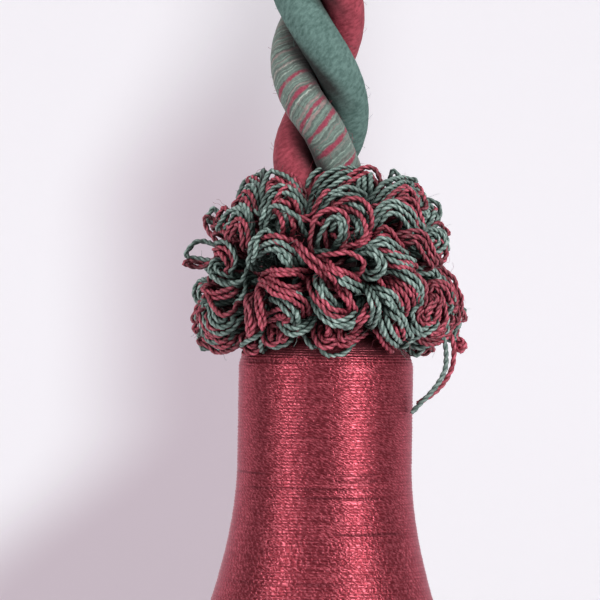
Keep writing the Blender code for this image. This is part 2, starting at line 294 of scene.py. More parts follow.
def yarn_finish(name, deep, middle, light, in_ruff=True):
    """Plied yarn: painted shade in the grooves between the plies, a painted glint on their outermost
    fibres.

    In the ruff a yarn also gets painted shade where it lies deep, near its feet and on its flanks.
    """
    finish = Finish(name, Roughness=0.46, Specular_IOR_Level=0.40, Sheen_Weight=0.04,
                    Sheen_Roughness=0.5, Sheen_Tint=(*light, 1.0))
    crest = finish.attribute("crest")
    tone = finish.attribute("tone")
    patch = finish.noise(900.0, 3.0)
    fibre = finish.noise(4600.0, 2.0)
    depth_light, flank_light = Number(finish, 1.0), Number(finish, 1.0)
    # painted shade: deep in the ruff, near a loop's feet and on a yarn's flanks
    if in_ruff:
        depth_light = finish.from_hub().step(*RUFF_DEPTH) * (finish.attribute("lit") * 0.9 + 0.1)
        flank_light = finish.facing_out().step(-0.15, 0.80)
    # painted shade in the grooves between the plies, where crest is low
    strength = (crest.step(0.25, 0.85) * 0.60 + tone * 0.36) * (patch * 0.9 + 0.55)
    body = finish.mix(strength * (depth_light * 0.85 + 0.15) * (flank_light * 0.85 + 0.15), deep, middle)
    # painted glint on the crests of the plies, in the highlight colour
    glint = fibre.step(0.3, 0.7) * 0.6 + patch.step(0.3, 0.7) * 0.7 - 0.2
    colour = finish.mix(crest.step(0.72, 1.0) * glint * depth_light * flank_light, body, light)
    return finish.feed(Base_Color=colour, Normal=finish.bump(fibre, 0.5, FIBRE_RELIEF))


green_yarn = yarn_finish("green_yarn", GREEN_DEEP, GREEN, GREEN_HIGHLIGHT)
burgundy_yarn = yarn_finish("burgundy_yarn", BURGUNDY_DEEP, BURGUNDY, BURGUNDY_HIGHLIGHT)
green_open_yarn = yarn_finish("green_open_yarn", GREEN_DEEP, OPEN_GREEN, OPEN_GREEN_HIGHLIGHT,
                              in_ruff=False)
burgundy_open_yarn = yarn_finish("burgundy_open_yarn", BURGUNDY_DEEP, BURGUNDY, BURGUNDY_HIGHLIGHT,
                                 in_ruff=False)


# %% Rope finishes
# Painted shade darkens the strands' flanks where they dip into the groove between two strands.
DEEP_SHADE = 0.88             # how dark a strand is at the bottom of the groove beside it
NAP_RELIEF = 0.00030          # metres


# paints shade into a strand's colour where it dips into the groove beside the next one
def shade_in_grooves(finish, colour):
    return finish.mix(finish.attribute("deep") * DEEP_SHADE, colour, SHADOW_DARK)


def strand_finish(name, deep, light, roughness):
    """A soft strand of brushed yarn, with faint wrapping turns under its nap."""
    finish = Finish(name, Roughness=roughness, Sheen_Weight=0.12, Sheen_Roughness=0.6,
                    Sheen_Tint=(*light, 1.0), Specular_IOR_Level=0.2)
    lump = finish.noise(520.0, 4.0)
    fibre = finish.noise(3200.0, 3.0)
    turn = finish.wrapped_noise(1.6, lump * 1.5)
    streak = finish.streaks(2.4, 0.9)
    strength = (lump.step(0.25, 0.75) * 0.3 + fibre.step(0.3, 0.7) * 0.2
                + streak.step(0.3, 0.7) * 0.7 - 0.10)
    colour = shade_in_grooves(finish, finish.mix(strength, deep, light))
    nap = finish.bump(fibre * 0.4 + turn * 0.6 + streak * 0.8, 0.5, NAP_RELIEF)
    return finish.feed(Base_Color=colour, Normal=nap)


def banded_finish(name):
    """Grey-green yarn wrapped with pale, pink and green turns and, at intervals, burgundy bands."""
    finish = Finish(name, Roughness=0.8, Sheen_Weight=0.12, Sheen_Roughness=0.6,
                    Specular_IOR_Level=0.2)
    lump = finish.noise(420.0, 3.0)
    fibre = finish.noise(3200.0, 3.0)
    turn = finish.wrapped_noise(2.9, lump * 1.3)
    other = finish.wrapped_noise(1.5, lump * 1.1 + 7.0)
    mottle = finish.streaks(3.6, 1.6).step(0.35, 0.65)
    colour = finish.mix(turn.step(0.34, 0.62) * 0.6 + mottle * 0.4, BANDED_DEEP, BANDED)
    colour = finish.mix(other.step(0.50, 0.74) * (mottle * 0.5 + 0.3), colour, BANDED_PINK)
    colour = finish.mix(turn.step(0.54, 0.78) * (mottle * 0.7 + 0.1), colour, BANDED_PALE)
    edge = finish.attribute("near") + (lump - 0.5) * 0.8 + (fibre - 0.5) * 0.3
    burgundy = finish.mix(fibre, BAND_DEEP, BAND)
    colour = shade_in_grooves(finish, finish.mix(edge.step(0.12, 0.38), burgundy, colour))
    nap = finish.bump(fibre * 0.5 + turn * 0.8, 0.5, NAP_RELIEF)
    return finish.feed(Base_Color=colour, Normal=nap)


strand_green = strand_finish("strand_green", ROPE_GREEN, ROPE_GREEN_LIGHT, 0.9)
strand_burgundy = strand_finish("strand_burgundy", ROPE_BURGUNDY, ROPE_BURGUNDY_LIGHT, 0.65)
strand_banded = banded_finish("strand_banded")


# %% Satin thread finish
PLY_LENGTH = 0.90             # mm along the thread, from one slanting ply to the next
PLY_SLANT = 1.10              # plies that a line straight across a turn crosses
PLY_WANDER = 15.0             # how far the noise shifts the plies, in radians
TURN_SHIFT = 29.0             # and how far a turn's tone does, so that turns don't line up


def satin_finish(name, roughness, metallic):
    """Plied satin thread: short slanting plies catch the light along each turn, partly through painted
    highlights.

    groove is 1 between turns and 0 on a turn's back; grooves get a little painted shade. The shade
    attribute is 1 for full painted shade, and below 0 for a painted highlight on a turn.
    """
    finish = Finish(name, Roughness=roughness, Metallic=metallic,
                    Specular_Tint=(0.95, 0.55, 0.62, 1.0), Sheen_Weight=0.20,
                    Sheen_Roughness=0.35, Sheen_Tint=(0.90, 0.38, 0.44, 1.0))
    run = finish.attribute("run")
    side = finish.attribute("side")
    groove = finish.attribute("groove")
    painted_shade = finish.attribute("painted_shade")
    wander = finish.noise(1500.0, 3.0)
    start = finish.attribute("tone") * TURN_SHIFT
    swing = (run / PLY_LENGTH - side * PLY_SLANT) * math.tau + start + wander * PLY_WANDER
    ply = finish.math("SINE", swing) * 0.5 + 0.5
    patch = finish.noise(300.0, 3.0)
    fibre = finish.noise(4200.0, 2.0)
    grain = finish.noise(1900.0, 2.0).step(0.34, 0.66)
    body = finish.mix(patch * 0.25 + fibre * 0.30 + grain * 0.45, THREAD_DEEP, THREAD)
    # painted highlights on the slanting ply crests
    colour = finish.mix(ply.step(0.35, 1.0) * (grain * 0.75 + 0.15) * 0.8, body, THREAD_HIGHLIGHT)
    # painted shade in the grooves and where the shade attribute is above 0, a painted highlight where
    # it is below 0
    colour = finish.mix(groove * 0.20, colour, THREAD_SHADE)
    colour = finish.mix(painted_shade, colour, THREAD_SHADE)
    colour = finish.mix(painted_shade * -1.0, colour, THREAD_HIGHLIGHT)
    normal = finish.bump(ply + fibre * 0.6, 0.35, FIBRE_RELIEF)
    return finish.feed(Base_Color=colour, Normal=normal)


satin_thread = satin_finish("satin_thread", 0.28, 0.80)
seizing_thread = satin_finish("seizing_thread", 0.50, 0.25)


# %% Core finish
def core_finish(name, colour, light):
    finish = Finish(name, Roughness=0.95, Specular_IOR_Level=0.1)
    fibre = finish.noise(2400.0, 3.0)
    return finish.feed(Base_Color=finish.mix(fibre, colour, light),
                       Normal=finish.bump(fibre, 0.6, NAP_RELIEF))


# near-black finish for the ruff's backing: painted shade between the loops
dark_core = core_finish("dark_core", SHADOW_DARK, (0.030, 0.012, 0.014))
mould_finish = core_finish("mould_under_thread", (0.030, 0.004, 0.006), (0.075, 0.010, 0.014))

# %% [markdown]
# ## Meshes and lines that Geometry Nodes turn into yarn
# A yarn's route is worked out in Python as a line of points. A Geometry Nodes tree turns the
# line into plies that wind round it, which is how a plied yarn is built. Doing the winding in
# the tree keeps the routes short, and one tree serves every yarn.


# %% Lines as a host mesh
def mesh_piece(name, points, edges, faces, values):
    """A mesh object in the scene, with values stored on its points."""
    mesh = bpy.data.meshes.new(name)
    mesh.from_pydata(points, edges, faces)
    for key, numbers in values.items():
        mesh.attributes.new(key, "FLOAT", "POINT").data.foreach_set("value", numbers)
    piece = bpy.data.objects.new(name, mesh)
    bpy.context.scene.collection.objects.link(piece)
    return piece


def host_of_lines(name, lines, tones=None, extras=None):
    """A mesh of loose edges, one chain for each line, with a tone and other values on its points."""
    points = [tuple(point * MM) for line in lines for point in line]
    edges, first = [], 0
    for line in lines:
        edges.extend((i, i + 1) for i in range(first, first + len(line) - 1))
        first += len(line)
    values = {"tone": [tone for line, tone in zip(lines, tones or [0.5] * len(lines)) for _ in line],
              "lit": [1.0] * len(points), **(extras or {})}
    return mesh_piece(name, points, edges, [], values)


def grow(host, tree, **inputs):
    """Run a tree on its host and keep the result as a plain mesh."""
    modifier = host.modifiers.new(tree.name, "NODES")
    modifier.node_group = tree
    for item in tree.interface.items_tree:
        if item.item_type == "SOCKET" and item.in_out == "INPUT" and item.name in inputs:
            modifier[item.identifier] = inputs.pop(item.name)
    assert not inputs, inputs
    evaluated = host.evaluated_get(bpy.context.evaluated_depsgraph_get())
    mesh = bpy.data.meshes.new_from_object(evaluated)
    host.modifiers.remove(modifier)
    spare = host.data
    host.data = mesh
    bpy.data.meshes.remove(spare)
    mesh.name = host.name
    triangles = sum(len(polygon.vertices) - 2 for polygon in mesh.polygons)
    print(host.name, "triangles", triangles)
    return host


# %% Trees as code
NUMBER, WHOLE, MATERIAL = "NodeSocketFloat", "NodeSocketInt", "NodeSocketMaterial"


class Tree(Nodes):
    """A Geometry Nodes tree with named inputs."""

    def __init__(self, name, **inputs):
        super().__init__(bpy.data.node_groups.new(name, "GeometryNodeTree"))
        face = self.tree.interface
        face.new_socket("Geometry", in_out="OUTPUT", socket_type="NodeSocketGeometry")
        face.new_socket("Geometry", in_out="INPUT", socket_type="NodeSocketGeometry")
        for key, kind in inputs.items():
            face.new_socket(key, in_out="INPUT", socket_type=kind)
        self.input = self.node("NodeGroupInput")
        self.output = self.node("NodeGroupOutput")

    def math(self, operation, first, second):
        return self.node("ShaderNodeMath", {"operation": operation}, {0: first, 1: second}).outputs[0]

    def asked(self, name):
        return self.input.outputs[name]

    def curves(self):
        """The lines that come in, as curves."""
        return self.node("GeometryNodeMeshToCurve", None, {"Mesh": self.asked("Geometry")}).outputs[0]

    def tubes(self, curve, radius):
        """Round tubes along curves; radius names the input that holds their radius."""
        profile = self.node("GeometryNodeCurvePrimitiveCircle", {"mode": "RADIUS"},
                            {"Resolution": self.asked("Sides"), "Radius": self.asked(radius)})
        sockets = {"Curve": curve, "Profile Curve": profile.outputs[0], "Fill Caps": True}
        return self.node("GeometryNodeCurveToMesh", None, sockets).outputs[0]

    def store(self, geometry, name, value, data_type="FLOAT"):
        """Keep a value on the points under a name, for a later node or for the material."""
        return self.node("GeometryNodeStoreNamedAttribute", {"data_type": data_type, "domain": "POINT"},
                         {"Geometry": geometry, "Name": name, "Value": value}).outputs[0]

    def finish(self, geometry, material):
        smooth = self.node("GeometryNodeSetShadeSmooth", None, {"Geometry": geometry}).outputs[0]
        real = self.node("GeometryNodeRealizeInstances", None, {"Geometry": smooth}).outputs[0]
        dressed = self.node("GeometryNodeSetMaterial", None, {"Geometry": real, "Material": material})
        self.put(self.output.inputs[0], dressed.outputs[0])
        return self.tree


# %% Plied yarn tree
LEAST_TWIST = 0.85            # how tightly the slackest yarn is twisted, as a share,
TWIST_VARIETY = 0.3           # and how much tighter the tightest one
ROUND_CREST = 0.85            # what a round strand has for its crest


def plied_yarn_tree():
    """Each line becomes a yarn of two plies that wind round it, right-handed.

    crest is stored on the plies: 1 on their outermost fibres, low in the grooves between them.
    """
    tree = Tree("plied_yarn", **{"Ply Radius": NUMBER, "Ply Offset": NUMBER,
                                 "Twist Length": NUMBER, "Sides": WHOLE, "Material": MATERIAL})
    lines = tree.curves()
    along = tree.node("GeometryNodeSplineParameter").outputs["Length"]
    tone = tree.node("GeometryNodeInputNamedAttribute", {"data_type": "FLOAT"}, {"Name": "tone"})
    tightness = tree.math("ADD", tree.math("MULTIPLY", tone.outputs[0], TWIST_VARIETY),
                          LEAST_TWIST)
    turns = tree.math("DIVIDE", tree.math("MULTIPLY", along, tightness), tree.asked("Twist Length"))
    turn = tree.math("MULTIPLY", turns, math.tau)
    tangent = tree.node("GeometryNodeInputTangent").outputs[0]
    normal = tree.node("GeometryNodeInputNormal").outputs[0]
    place = tree.node("GeometryNodeInputPosition").outputs[0]
    lines = tree.store(lines, "axis", place, "FLOAT_VECTOR")
    joined = tree.node("GeometryNodeJoinGeometry")
    for phase in (0.0, math.pi):
        arm = tree.node("ShaderNodeVectorRotate", {"rotation_type": "AXIS_ANGLE"},
                        {"Vector": normal, "Axis": tangent, "Angle": tree.math("ADD", turn, phase)})
        push = tree.node("ShaderNodeVectorMath", {"operation": "SCALE"},
                         {0: arm.outputs[0], "Scale": tree.asked("Ply Offset")})
        ply = tree.node("GeometryNodeSetPosition", None, {"Geometry": lines, "Offset": push.outputs[0]})
        tree.put(joined.inputs[0], tree.tubes(ply.outputs[0], "Ply Radius"))
    axis = tree.node("GeometryNodeInputNamedAttribute", {"data_type": "FLOAT_VECTOR"}, {"Name": "axis"})
    away = tree.node("ShaderNodeVectorMath", {"operation": "DISTANCE"}, {0: place, 1: axis.outputs[0]})
    widest = tree.math("ADD", tree.asked("Ply Radius"), tree.asked("Ply Offset"))
    crest = tree.math("DIVIDE", away.outputs["Value"], widest)
    marked = tree.store(joined.outputs[0], "crest", crest)
    plain = tree.node("GeometryNodeRemoveAttribute", None, {"Geometry": marked, "Name": "axis"})
    return tree.finish(plain.outputs[0], tree.asked("Material"))


def round_strand_tree():
    """Each line becomes one round strand."""
    tree = Tree("round_strand", Radius=NUMBER, Sides=WHOLE, Material=MATERIAL)
    marked = tree.store(tree.tubes(tree.curves(), "Radius"), "crest", ROUND_CREST)
    return tree.finish(marked, tree.asked("Material"))


PLIED_YARN = plied_yarn_tree()
ROUND_STRAND = round_strand_tree()
print("trees", PLIED_YARN.name, ROUND_STRAND.name)

# %% [markdown]
# ## Smooth routes
# A route is given by a few points. A Catmull-Rom curve passes through all of them, and the
# line is read off it at even steps, so that twist and rings stay even too.


# %% Curves through points
FINE_STEPS = 24               # steps of the curve between two given points


def smooth_route(points, step):
    """Points at even steps on the curve through the given points, and the curve's length."""
    rows = np.array([tuple(point) for point in points], dtype=float)
    ends = np.vstack([2 * rows[0] - rows[1], rows, 2 * rows[-1] - rows[-2]])
    t = np.linspace(0.0, 1.0, FINE_STEPS, endpoint=False)[:, None]
    parts = []
    for p0, p1, p2, p3 in zip(ends, ends[1:], ends[2:], ends[3:]):
        parts.append(0.5 * (2 * p1 + (p2 - p0) * t + (2 * p0 - 5 * p1 + 4 * p2 - p3) * t ** 2
                            + (3 * p1 - p0 - 3 * p2 + p3) * t ** 3))
    dense = np.vstack(parts + [rows[-1:]])
    length = np.concatenate([[0.0], np.cumsum(np.linalg.norm(np.diff(dense, axis=0), axis=1))])
    count = max(3, int(round(length[-1] / step)))
    even = np.linspace(0.0, length[-1], count + 1)
    line = np.stack([np.interp(even, length, dense[:, axis]) for axis in range(3)], axis=1)
    return [Vector(point) for point in line], length[-1]


# %% [markdown]
# ## Skins over rings
# A band, a mould or a strand is a skin stretched over rings of points, with values stored on
# the points for its finish.


# %% Ring skins
def ring_skin(name, rings, values, material, wrap=True, climb=0):
    """A skin over rings of points; with wrap the last ring joins the first.

    A ring's last point joins its own first point, or with climb the first point of the ring
    that many further on, so that the skin is one helix.
    """
    sides = len(rings[0])
    points = [tuple(Vector(point) * MM) for ring in rings for point in ring]
    faces = []
    for k in range(len(rings) if wrap else len(rings) - 1):
        a, b = k * sides, (k + 1) % len(rings) * sides
        faces.extend((a + i, a + i + 1, b + i + 1, b + i) for i in range(sides - 1))
        c, d = a + climb * sides, b + climb * sides
        if d < len(points):
            faces.append((a + sides - 1, c, d, b + sides - 1))
    piece = mesh_piece(name, points, [], faces, values)
    piece.data.materials.append(material)
    face_out(piece)
    piece.data.shade_smooth()
    return piece


def face_out(piece, close=False):
    """Point a piece's faces outwards; with close its open edges are filled first."""
    shape = bmesh.new()
    shape.from_mesh(piece.data)
    if close:
        bmesh.ops.holes_fill(shape, edges=[edge for edge in shape.edges if edge.is_boundary])
    bmesh.ops.recalc_face_normals(shape, faces=shape.faces)
    shape.to_mesh(piece.data)
    shape.free()


# %% [markdown]
# ## The rope
# Three soft strands are laid together with a left-handed twist: one burgundy, one green, and
# one grey-green strand banded with burgundy turns. The rope runs up out of the ruff, leans
# to one side, passes through the seizing, goes round the hanging eye and ends in the seizing.
# Each strand follows a helix round that route, worked out here because its phase decides which
# colour shows where. The route's points are the same as those of the solids.

# %% Rope route and strands
LEG_SPREAD = 6.85
ROPE_ROUTE = (
    (ROPE_SHIFT, HEAD_TOP + GAP), (ROPE_SHIFT, -152.0), (ROPE_SHIFT, -142.0), (-1.35, -136.0),
    (-1.0, -130.5), (-1.5, -125.5), (-1.9, -119.5), (-2.15, -112.0), (-2.9, -103.0), (-4.4, -94.0),
    (-6.2, -86.0),
    (-LEG_SPREAD, -79.4), (-LEG_SPREAD, -72.0), (-LEG_SPREAD, -65.3), (-9.4, -53.4),
    (-17.4, -43.3), (-25.4, -33.2), (-28.0, -21.4), (-24.2, -7.4), (-14.0, 2.9),
    (0.0, 6.65), (14.0, 2.9), (24.2, -7.4), (28.0, -21.4), (25.4, -33.2), (17.4, -43.3),
    (9.4, -53.4), (LEG_SPREAD, -65.3), (LEG_SPREAD, -72.0), (LEG_SPREAD, -79.0),
)
RING_STEP = 0.3
STRAND_SIDES = 20
BACK = Vector((0.0, 1.0, 0.0))
BAND_GAPS = (2.8, 2.5, 2.0, 2.6, 2.1, 12.0)  # mm from each burgundy band to the next, repeated
BAND_START = -5.2             # the lowest band, up the strand from its crossing of the front
BAND_TILT = 0.25              # how far a band climbs round its strand
# Where painted shade darkens a strand's flanks, in degrees from its crest.
LOWER_FLANK = (52.0, 80.0)
UPPER_FLANK = (64.0, 104.0)
SHADE_FROM = -11.5            # where that shade starts, up the strand from the same crossing
SHADE_RAMP = 4.5              # and over how many mm it comes in

rope_line, rope_length = smooth_route([Vector((x, 0.0, z)) for x, z in ROPE_ROUTE], RING_STEP)


def from_band(place):
    """Distance (mm) from a place on the banded strand to the middle of the nearest band."""
    total = sum(BAND_GAPS)
    place = (place - BAND_START) % total
    centre = 0.0
    nearest = min(place, total - place)
    for gap in BAND_GAPS:
        centre += gap
        nearest = min(nearest, abs(place - centre))
    return nearest


def strand_line(turn_share):
    """A helix round the rope's route: its points, and the way from the rope's middle to each."""
    start = -math.pi / 2 + math.tau * (GREEN_IN_FRONT - GAP) / ROPE_LAY + math.tau * turn_share
    step = rope_length / (len(rope_line) - 1)
    line, outwards = [], []
    for i, point in enumerate(rope_line):
        ahead = rope_line[min(i + 1, len(rope_line) - 1)] - rope_line[max(i - 1, 0)]
        ahead.normalize()
        angle = start - math.tau * i * step / ROPE_LAY
        side = Vector((ahead.z, 0.0, -ahead.x))
        outward = side * math.cos(angle) + BACK * math.sin(angle)
        line.append(point + outward * STRAND_OFFSET)
        outwards.append(outward)
    return line, outwards


def strand_skin(name, turn_share, material):
    """A strand as a skin of rings. wrap is how far up the strand a point's wrapping turn lies."""
    line, outwards = strand_line(turn_share)
    run = run_along(line)
    stretch = run[-1] / rope_length
    front = (GREEN_IN_FRONT - GAP + ROPE_LAY * turn_share) * stretch
    rings, wrap, around, near, deep = [], [], [], [], []
    for i, point in enumerate(line):
        ahead = line[min(i + 1, len(line) - 1)] - line[max(i - 1, 0)]
        across = ahead.cross(outwards[i]).normalized()
        lift = across.cross(ahead).normalized()
        lay = ROPE_LAY * stretch
        past_front = (run[i] - front + lay / 2) % lay - lay / 2
        shaded = clamp((past_front - SHADE_FROM) / SHADE_RAMP)
        ring = []
        for k in range(STRAND_SIDES):
            turn = math.tau * (k + 0.5) / STRAND_SIDES - math.pi
            ring.append(point + (lift * math.cos(turn) + across * math.sin(turn)) * STRAND_RADIUS)
            wrap.append(run[i] - front - BAND_TILT * STRAND_RADIUS * turn)
            around.append(STRAND_RADIUS * turn)
            near.append(from_band(wrap[-1]))
            # deep is painted shade on the flanks that face the neighbouring strands, the lower flank
            # from a smaller angle
            first, last = LOWER_FLANK if turn < 0.0 else UPPER_FLANK
            share = (abs(math.degrees(turn)) - first) / (last - first)
            deep.append(clamp(share) * shaded)
        rings.append(ring)
    skin = ring_skin(name, rings, {"wrap": wrap, "around": around, "near": near, "deep": deep},
                     material, wrap=False)
    face_out(skin, close=True)
    return skin, line, outwards


# %% One rope
ROPE_STRANDS = (
    ("green", 0.0, strand_green),
    ("burgundy", 1 / 3, strand_burgundy),
    ("banded", -1 / 3, strand_banded),
)


def join(pieces, name):
    """Join plain meshes into one piece, keeping their materials and attributes."""
    with bpy.context.temp_override(active_object=pieces[0], selected_editable_objects=pieces,
                                   object=pieces[0]):
        bpy.ops.object.join()
    pieces[0].name = name
    return pieces[0]


FUZZ_FIBRES = 420
FUZZ_LENGTH = 1.3
FUZZ_RADIUS = 0.020
FIBRE_SIDES = 3
fuzz_pick = random.Random(11)


def fuzz(line, outwards):
    """Short fibres that stand off a strand, away from the rope's middle."""
    fibres = []
    for _ in range(FUZZ_FIBRES):
        k = fuzz_pick.randrange(len(line))
        ahead = (line[min(k + 1, len(line) - 1)] - line[max(k - 1, 0)]).normalized()
        turn = fuzz_pick.uniform(-1.9, 1.9)
        out = outwards[k] * math.cos(turn) + ahead.cross(outwards[k]) * math.sin(turn)
        bend = ahead * fuzz_pick.uniform(-1.0, 1.0) + ahead.cross(out) * fuzz_pick.uniform(-0.8, 0.8)
        root = line[k] + out * (STRAND_RADIUS - 0.1)
        fibres.append([root + (out * 0.45 * share + bend * share * share) * FUZZ_LENGTH
                       for share in (0.0, 0.25, 0.5, 0.75, 1.0)])
    return fibres


strand_pieces = []
for colour, share, material in ROPE_STRANDS:
    skin, line, outwards = strand_skin("rope_" + colour, share, material)
    strand_pieces.append(skin)
    host = host_of_lines("fuzz_" + colour, fuzz(line, outwards))
    strand_pieces.append(grow(host, ROUND_STRAND, Radius=FUZZ_RADIUS * MM, Sides=FIBRE_SIDES,
                              Material=material))
rope = join(strand_pieces, "rope")
print("rope length", round(rope_length, 1), "mm, triangles", len(rope.data.polygons) * 2)
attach(rope, "root")
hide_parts("rope_strand_green", "rope_strand_burgundy", "rope_strand_banded")

# %% [markdown]
# ## The seizing
# A seizing is thread wound tightly round both legs of the eye. Its turns are modelled as ridges
# on a band that goes round the two legs.


# %% Seizing
SEIZING_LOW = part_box("eye_seizing")[0][2] / MM
SEIZING_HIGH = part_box("eye_seizing")[1][2] / MM
SEIZING_HEIGHT = SEIZING_HIGH - SEIZING_LOW
SEIZING_BORE = 6.95
SEIZING_GROOVE = 7.75         # radius between two turns
SEIZING_RIDGE = 0.34          # how far a turn stands out from there
SEIZING_PITCH = 1.15
SEIZING_SIDES = 72
SEIZING_SIDE = 1.1            # mm of thread that one of these sides stands for
RIDGE_POINTS = 4              # steps across the ridge that one turn makes
# Painted shade darkens the thread between two turns.
SEIZING_SHADE = 0.8           # how dark it is between two turns


def seizing():
    turns = int(SEIZING_HEIGHT / SEIZING_PITCH)
    one_turn = SEIZING_HEIGHT / turns
    steps = turns * RIDGE_POINTS
    section = [(SEIZING_BORE, SEIZING_LOW)]
    for k in range(steps + 1):
        bulge = SEIZING_RIDGE * abs(math.sin(math.pi * k / RIDGE_POINTS))
        section.append((SEIZING_GROOVE + bulge, SEIZING_LOW + SEIZING_HEIGHT * k / steps))
    section.append((SEIZING_BORE, SEIZING_HIGH))
    rings, run, side, groove = [], [], [], []
    for radius, height in section:
        ring = []
        for i in range(SEIZING_SIDES):
            turn = math.tau * (i + 0.5) / SEIZING_SIDES
            x = LEG_SPREAD if math.cos(turn) > 0 else -LEG_SPREAD
            ring.append((x + radius * math.cos(turn), radius * math.sin(turn), height))
            run.append(i * SEIZING_SIDE)
            side.append(height / SEIZING_PITCH)
            groove.append(1.0 - abs(math.sin(math.pi * (height - SEIZING_LOW) / one_turn)))
        rings.append(ring)
    shade = [SEIZING_SHADE * low * low for low in groove]
    values = {"run": run, "side": side, "groove": groove, "painted_shade": shade}
    return ring_skin("seizing", rings, values, seizing_thread)


seizing_band = seizing()
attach(seizing_band, "root")
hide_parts("eye_seizing")

# %% [markdown]
# ## The wound head
# The head is a turned mould with satin thread wound round it from top to bottom. The mould's outline is
# a straight neck that flares into a bell. The thread is a long helix, one turn over the other, so its
# turns are modelled as a skin with one ridge for each turn. A few places have turns that stand apart,
# and these dark lines are a main feature of the real winding; their darkness is partly the gap's real
# depth and partly painted shade.


# %% Head outline
EDGE_STEPS = 6                # steps round the shoulder, and round the rim
PROFILE_STEP = 1.0            # mm between two rings down the head


def outline(depth):
    """The head's radius at a depth under its top, without the rounded edges."""
    share = max(0.0, (depth - NECK_LENGTH) / (HEAD_LENGTH - NECK_LENGTH - LIP_ROUND))
    return NECK_RADIUS + FLARE_REACH * min(share, 1.0) ** FLARE_POWER


def head_profile():
    """Radius and depth of points down the head, from its rounded shoulder to its rounded rim."""
    quarter = [math.pi / 2 * i / EDGE_STEPS for i in range(EDGE_STEPS + 1)]
    rows = [(NECK_RADIUS - SHOULDER_ROUND * (1 - math.sin(turn)),
             SHOULDER_ROUND * (1 - math.cos(turn))) for turn in quarter]
    depth = SHOULDER_ROUND + PROFILE_STEP
    while depth < HEAD_LENGTH - LIP_ROUND:
        rows.append((outline(depth), depth))
        depth += PROFILE_STEP
    rim = NECK_RADIUS + FLARE_REACH
    rows += [(rim - LIP_ROUND * (1 - math.cos(turn)),
              HEAD_LENGTH - LIP_ROUND + LIP_ROUND * math.sin(turn)) for turn in quarter]
    return rows


THREAD_PITCH = 0.46
THREAD_RISE = 0.09            # height of a turn's ridge over the groove
TURN_DRIFT = 0.010            # how unevenly the turns lie, up and down
TURN_STAND = 0.015            # and in and out
GAP_DEPTH = 0.16              # how much deeper the winding is where turns are parted
GAP_FADE = 0.8                # over how many mm the turns beside a gap close up again
GAP_REACH = 3.0               # how far a gap is felt at all
DOME_PAINTED_LIGHT = 0.90             # how much painted light brightens the first turns, on the dome under the ruff
DOME_DEPTH = 1.5              # depth at which that shine has gone
MOULD_INSET = 0.45            # the mould's depth under the turns
HEAD_SIDES = 144
MOULD_SIDES = 96
# Places where turns stand apart: depth and half width (mm), darkness, and then the middle and half
# width in degrees (front is 270). Darkness deepens the gap and paints shade into it; below 0 the turn
# stands out instead, with a painted highlight.
PARTED_TURNS = (
    (2.0, 0.16, 0.60, 232.0, 30.0),
    (3.1, 0.12, -0.45, 291.0, 13.0),
    (17.7, 0.10, 0.62, 291.0, 19.0),
    (18.15, 0.14, -0.40, 288.0, 9.0),
    (17.8, 0.12, 0.60, 205.0, 26.0),
    (18.6, 0.12, 0.72, 291.0, 21.0),
    (19.1, 0.14, -0.40, 289.0, 12.0),
    (19.8, 0.14, 0.50, 250.0, 48.0),
    (20.0, 0.11, 0.60, 292.0, 17.0),
    (21.0, 0.13, 0.70, 284.0, 30.0),
    (21.5, 0.14, -0.35, 288.0, 10.0),
    (26.0, 0.13, 0.75, 301.0, 28.0),
    (12.6, 0.09, 0.35, 250.0, 50.0),
    (33.0, 0.10, 0.50, 240.0, 45.0),
    (38.0, 0.13, 0.80, 70.0, 50.0),
    (9.0, 0.13, 0.70, 130.0, 45.0),
)


# Radius and depth where the winding starts, on the low dome inside the ruff.
WINDING_START = ((7.6, -2.0), (8.9, -1.45), (10.0, -0.75), (10.9, -0.05), (11.6, 0.65), (12.1, 1.3),
                 (12.4, 2.2))
WINDING_DRAWN_IN = 0.3        # how far the thread is drawn in on the mould's outline


def along_outline():
    """The winding's line down the head, and the length along it at each of its points."""
    rows = list(WINDING_START)
    rows += [(radius - WINDING_DRAWN_IN, depth) for radius, depth in head_profile()
             if depth > WINDING_START[-1][1] + 0.5]
    lengths = [0.0]
    for a, b in zip(rows, rows[1:]):
        lengths.append(lengths[-1] + math.dist(a, b))
    return rows, lengths


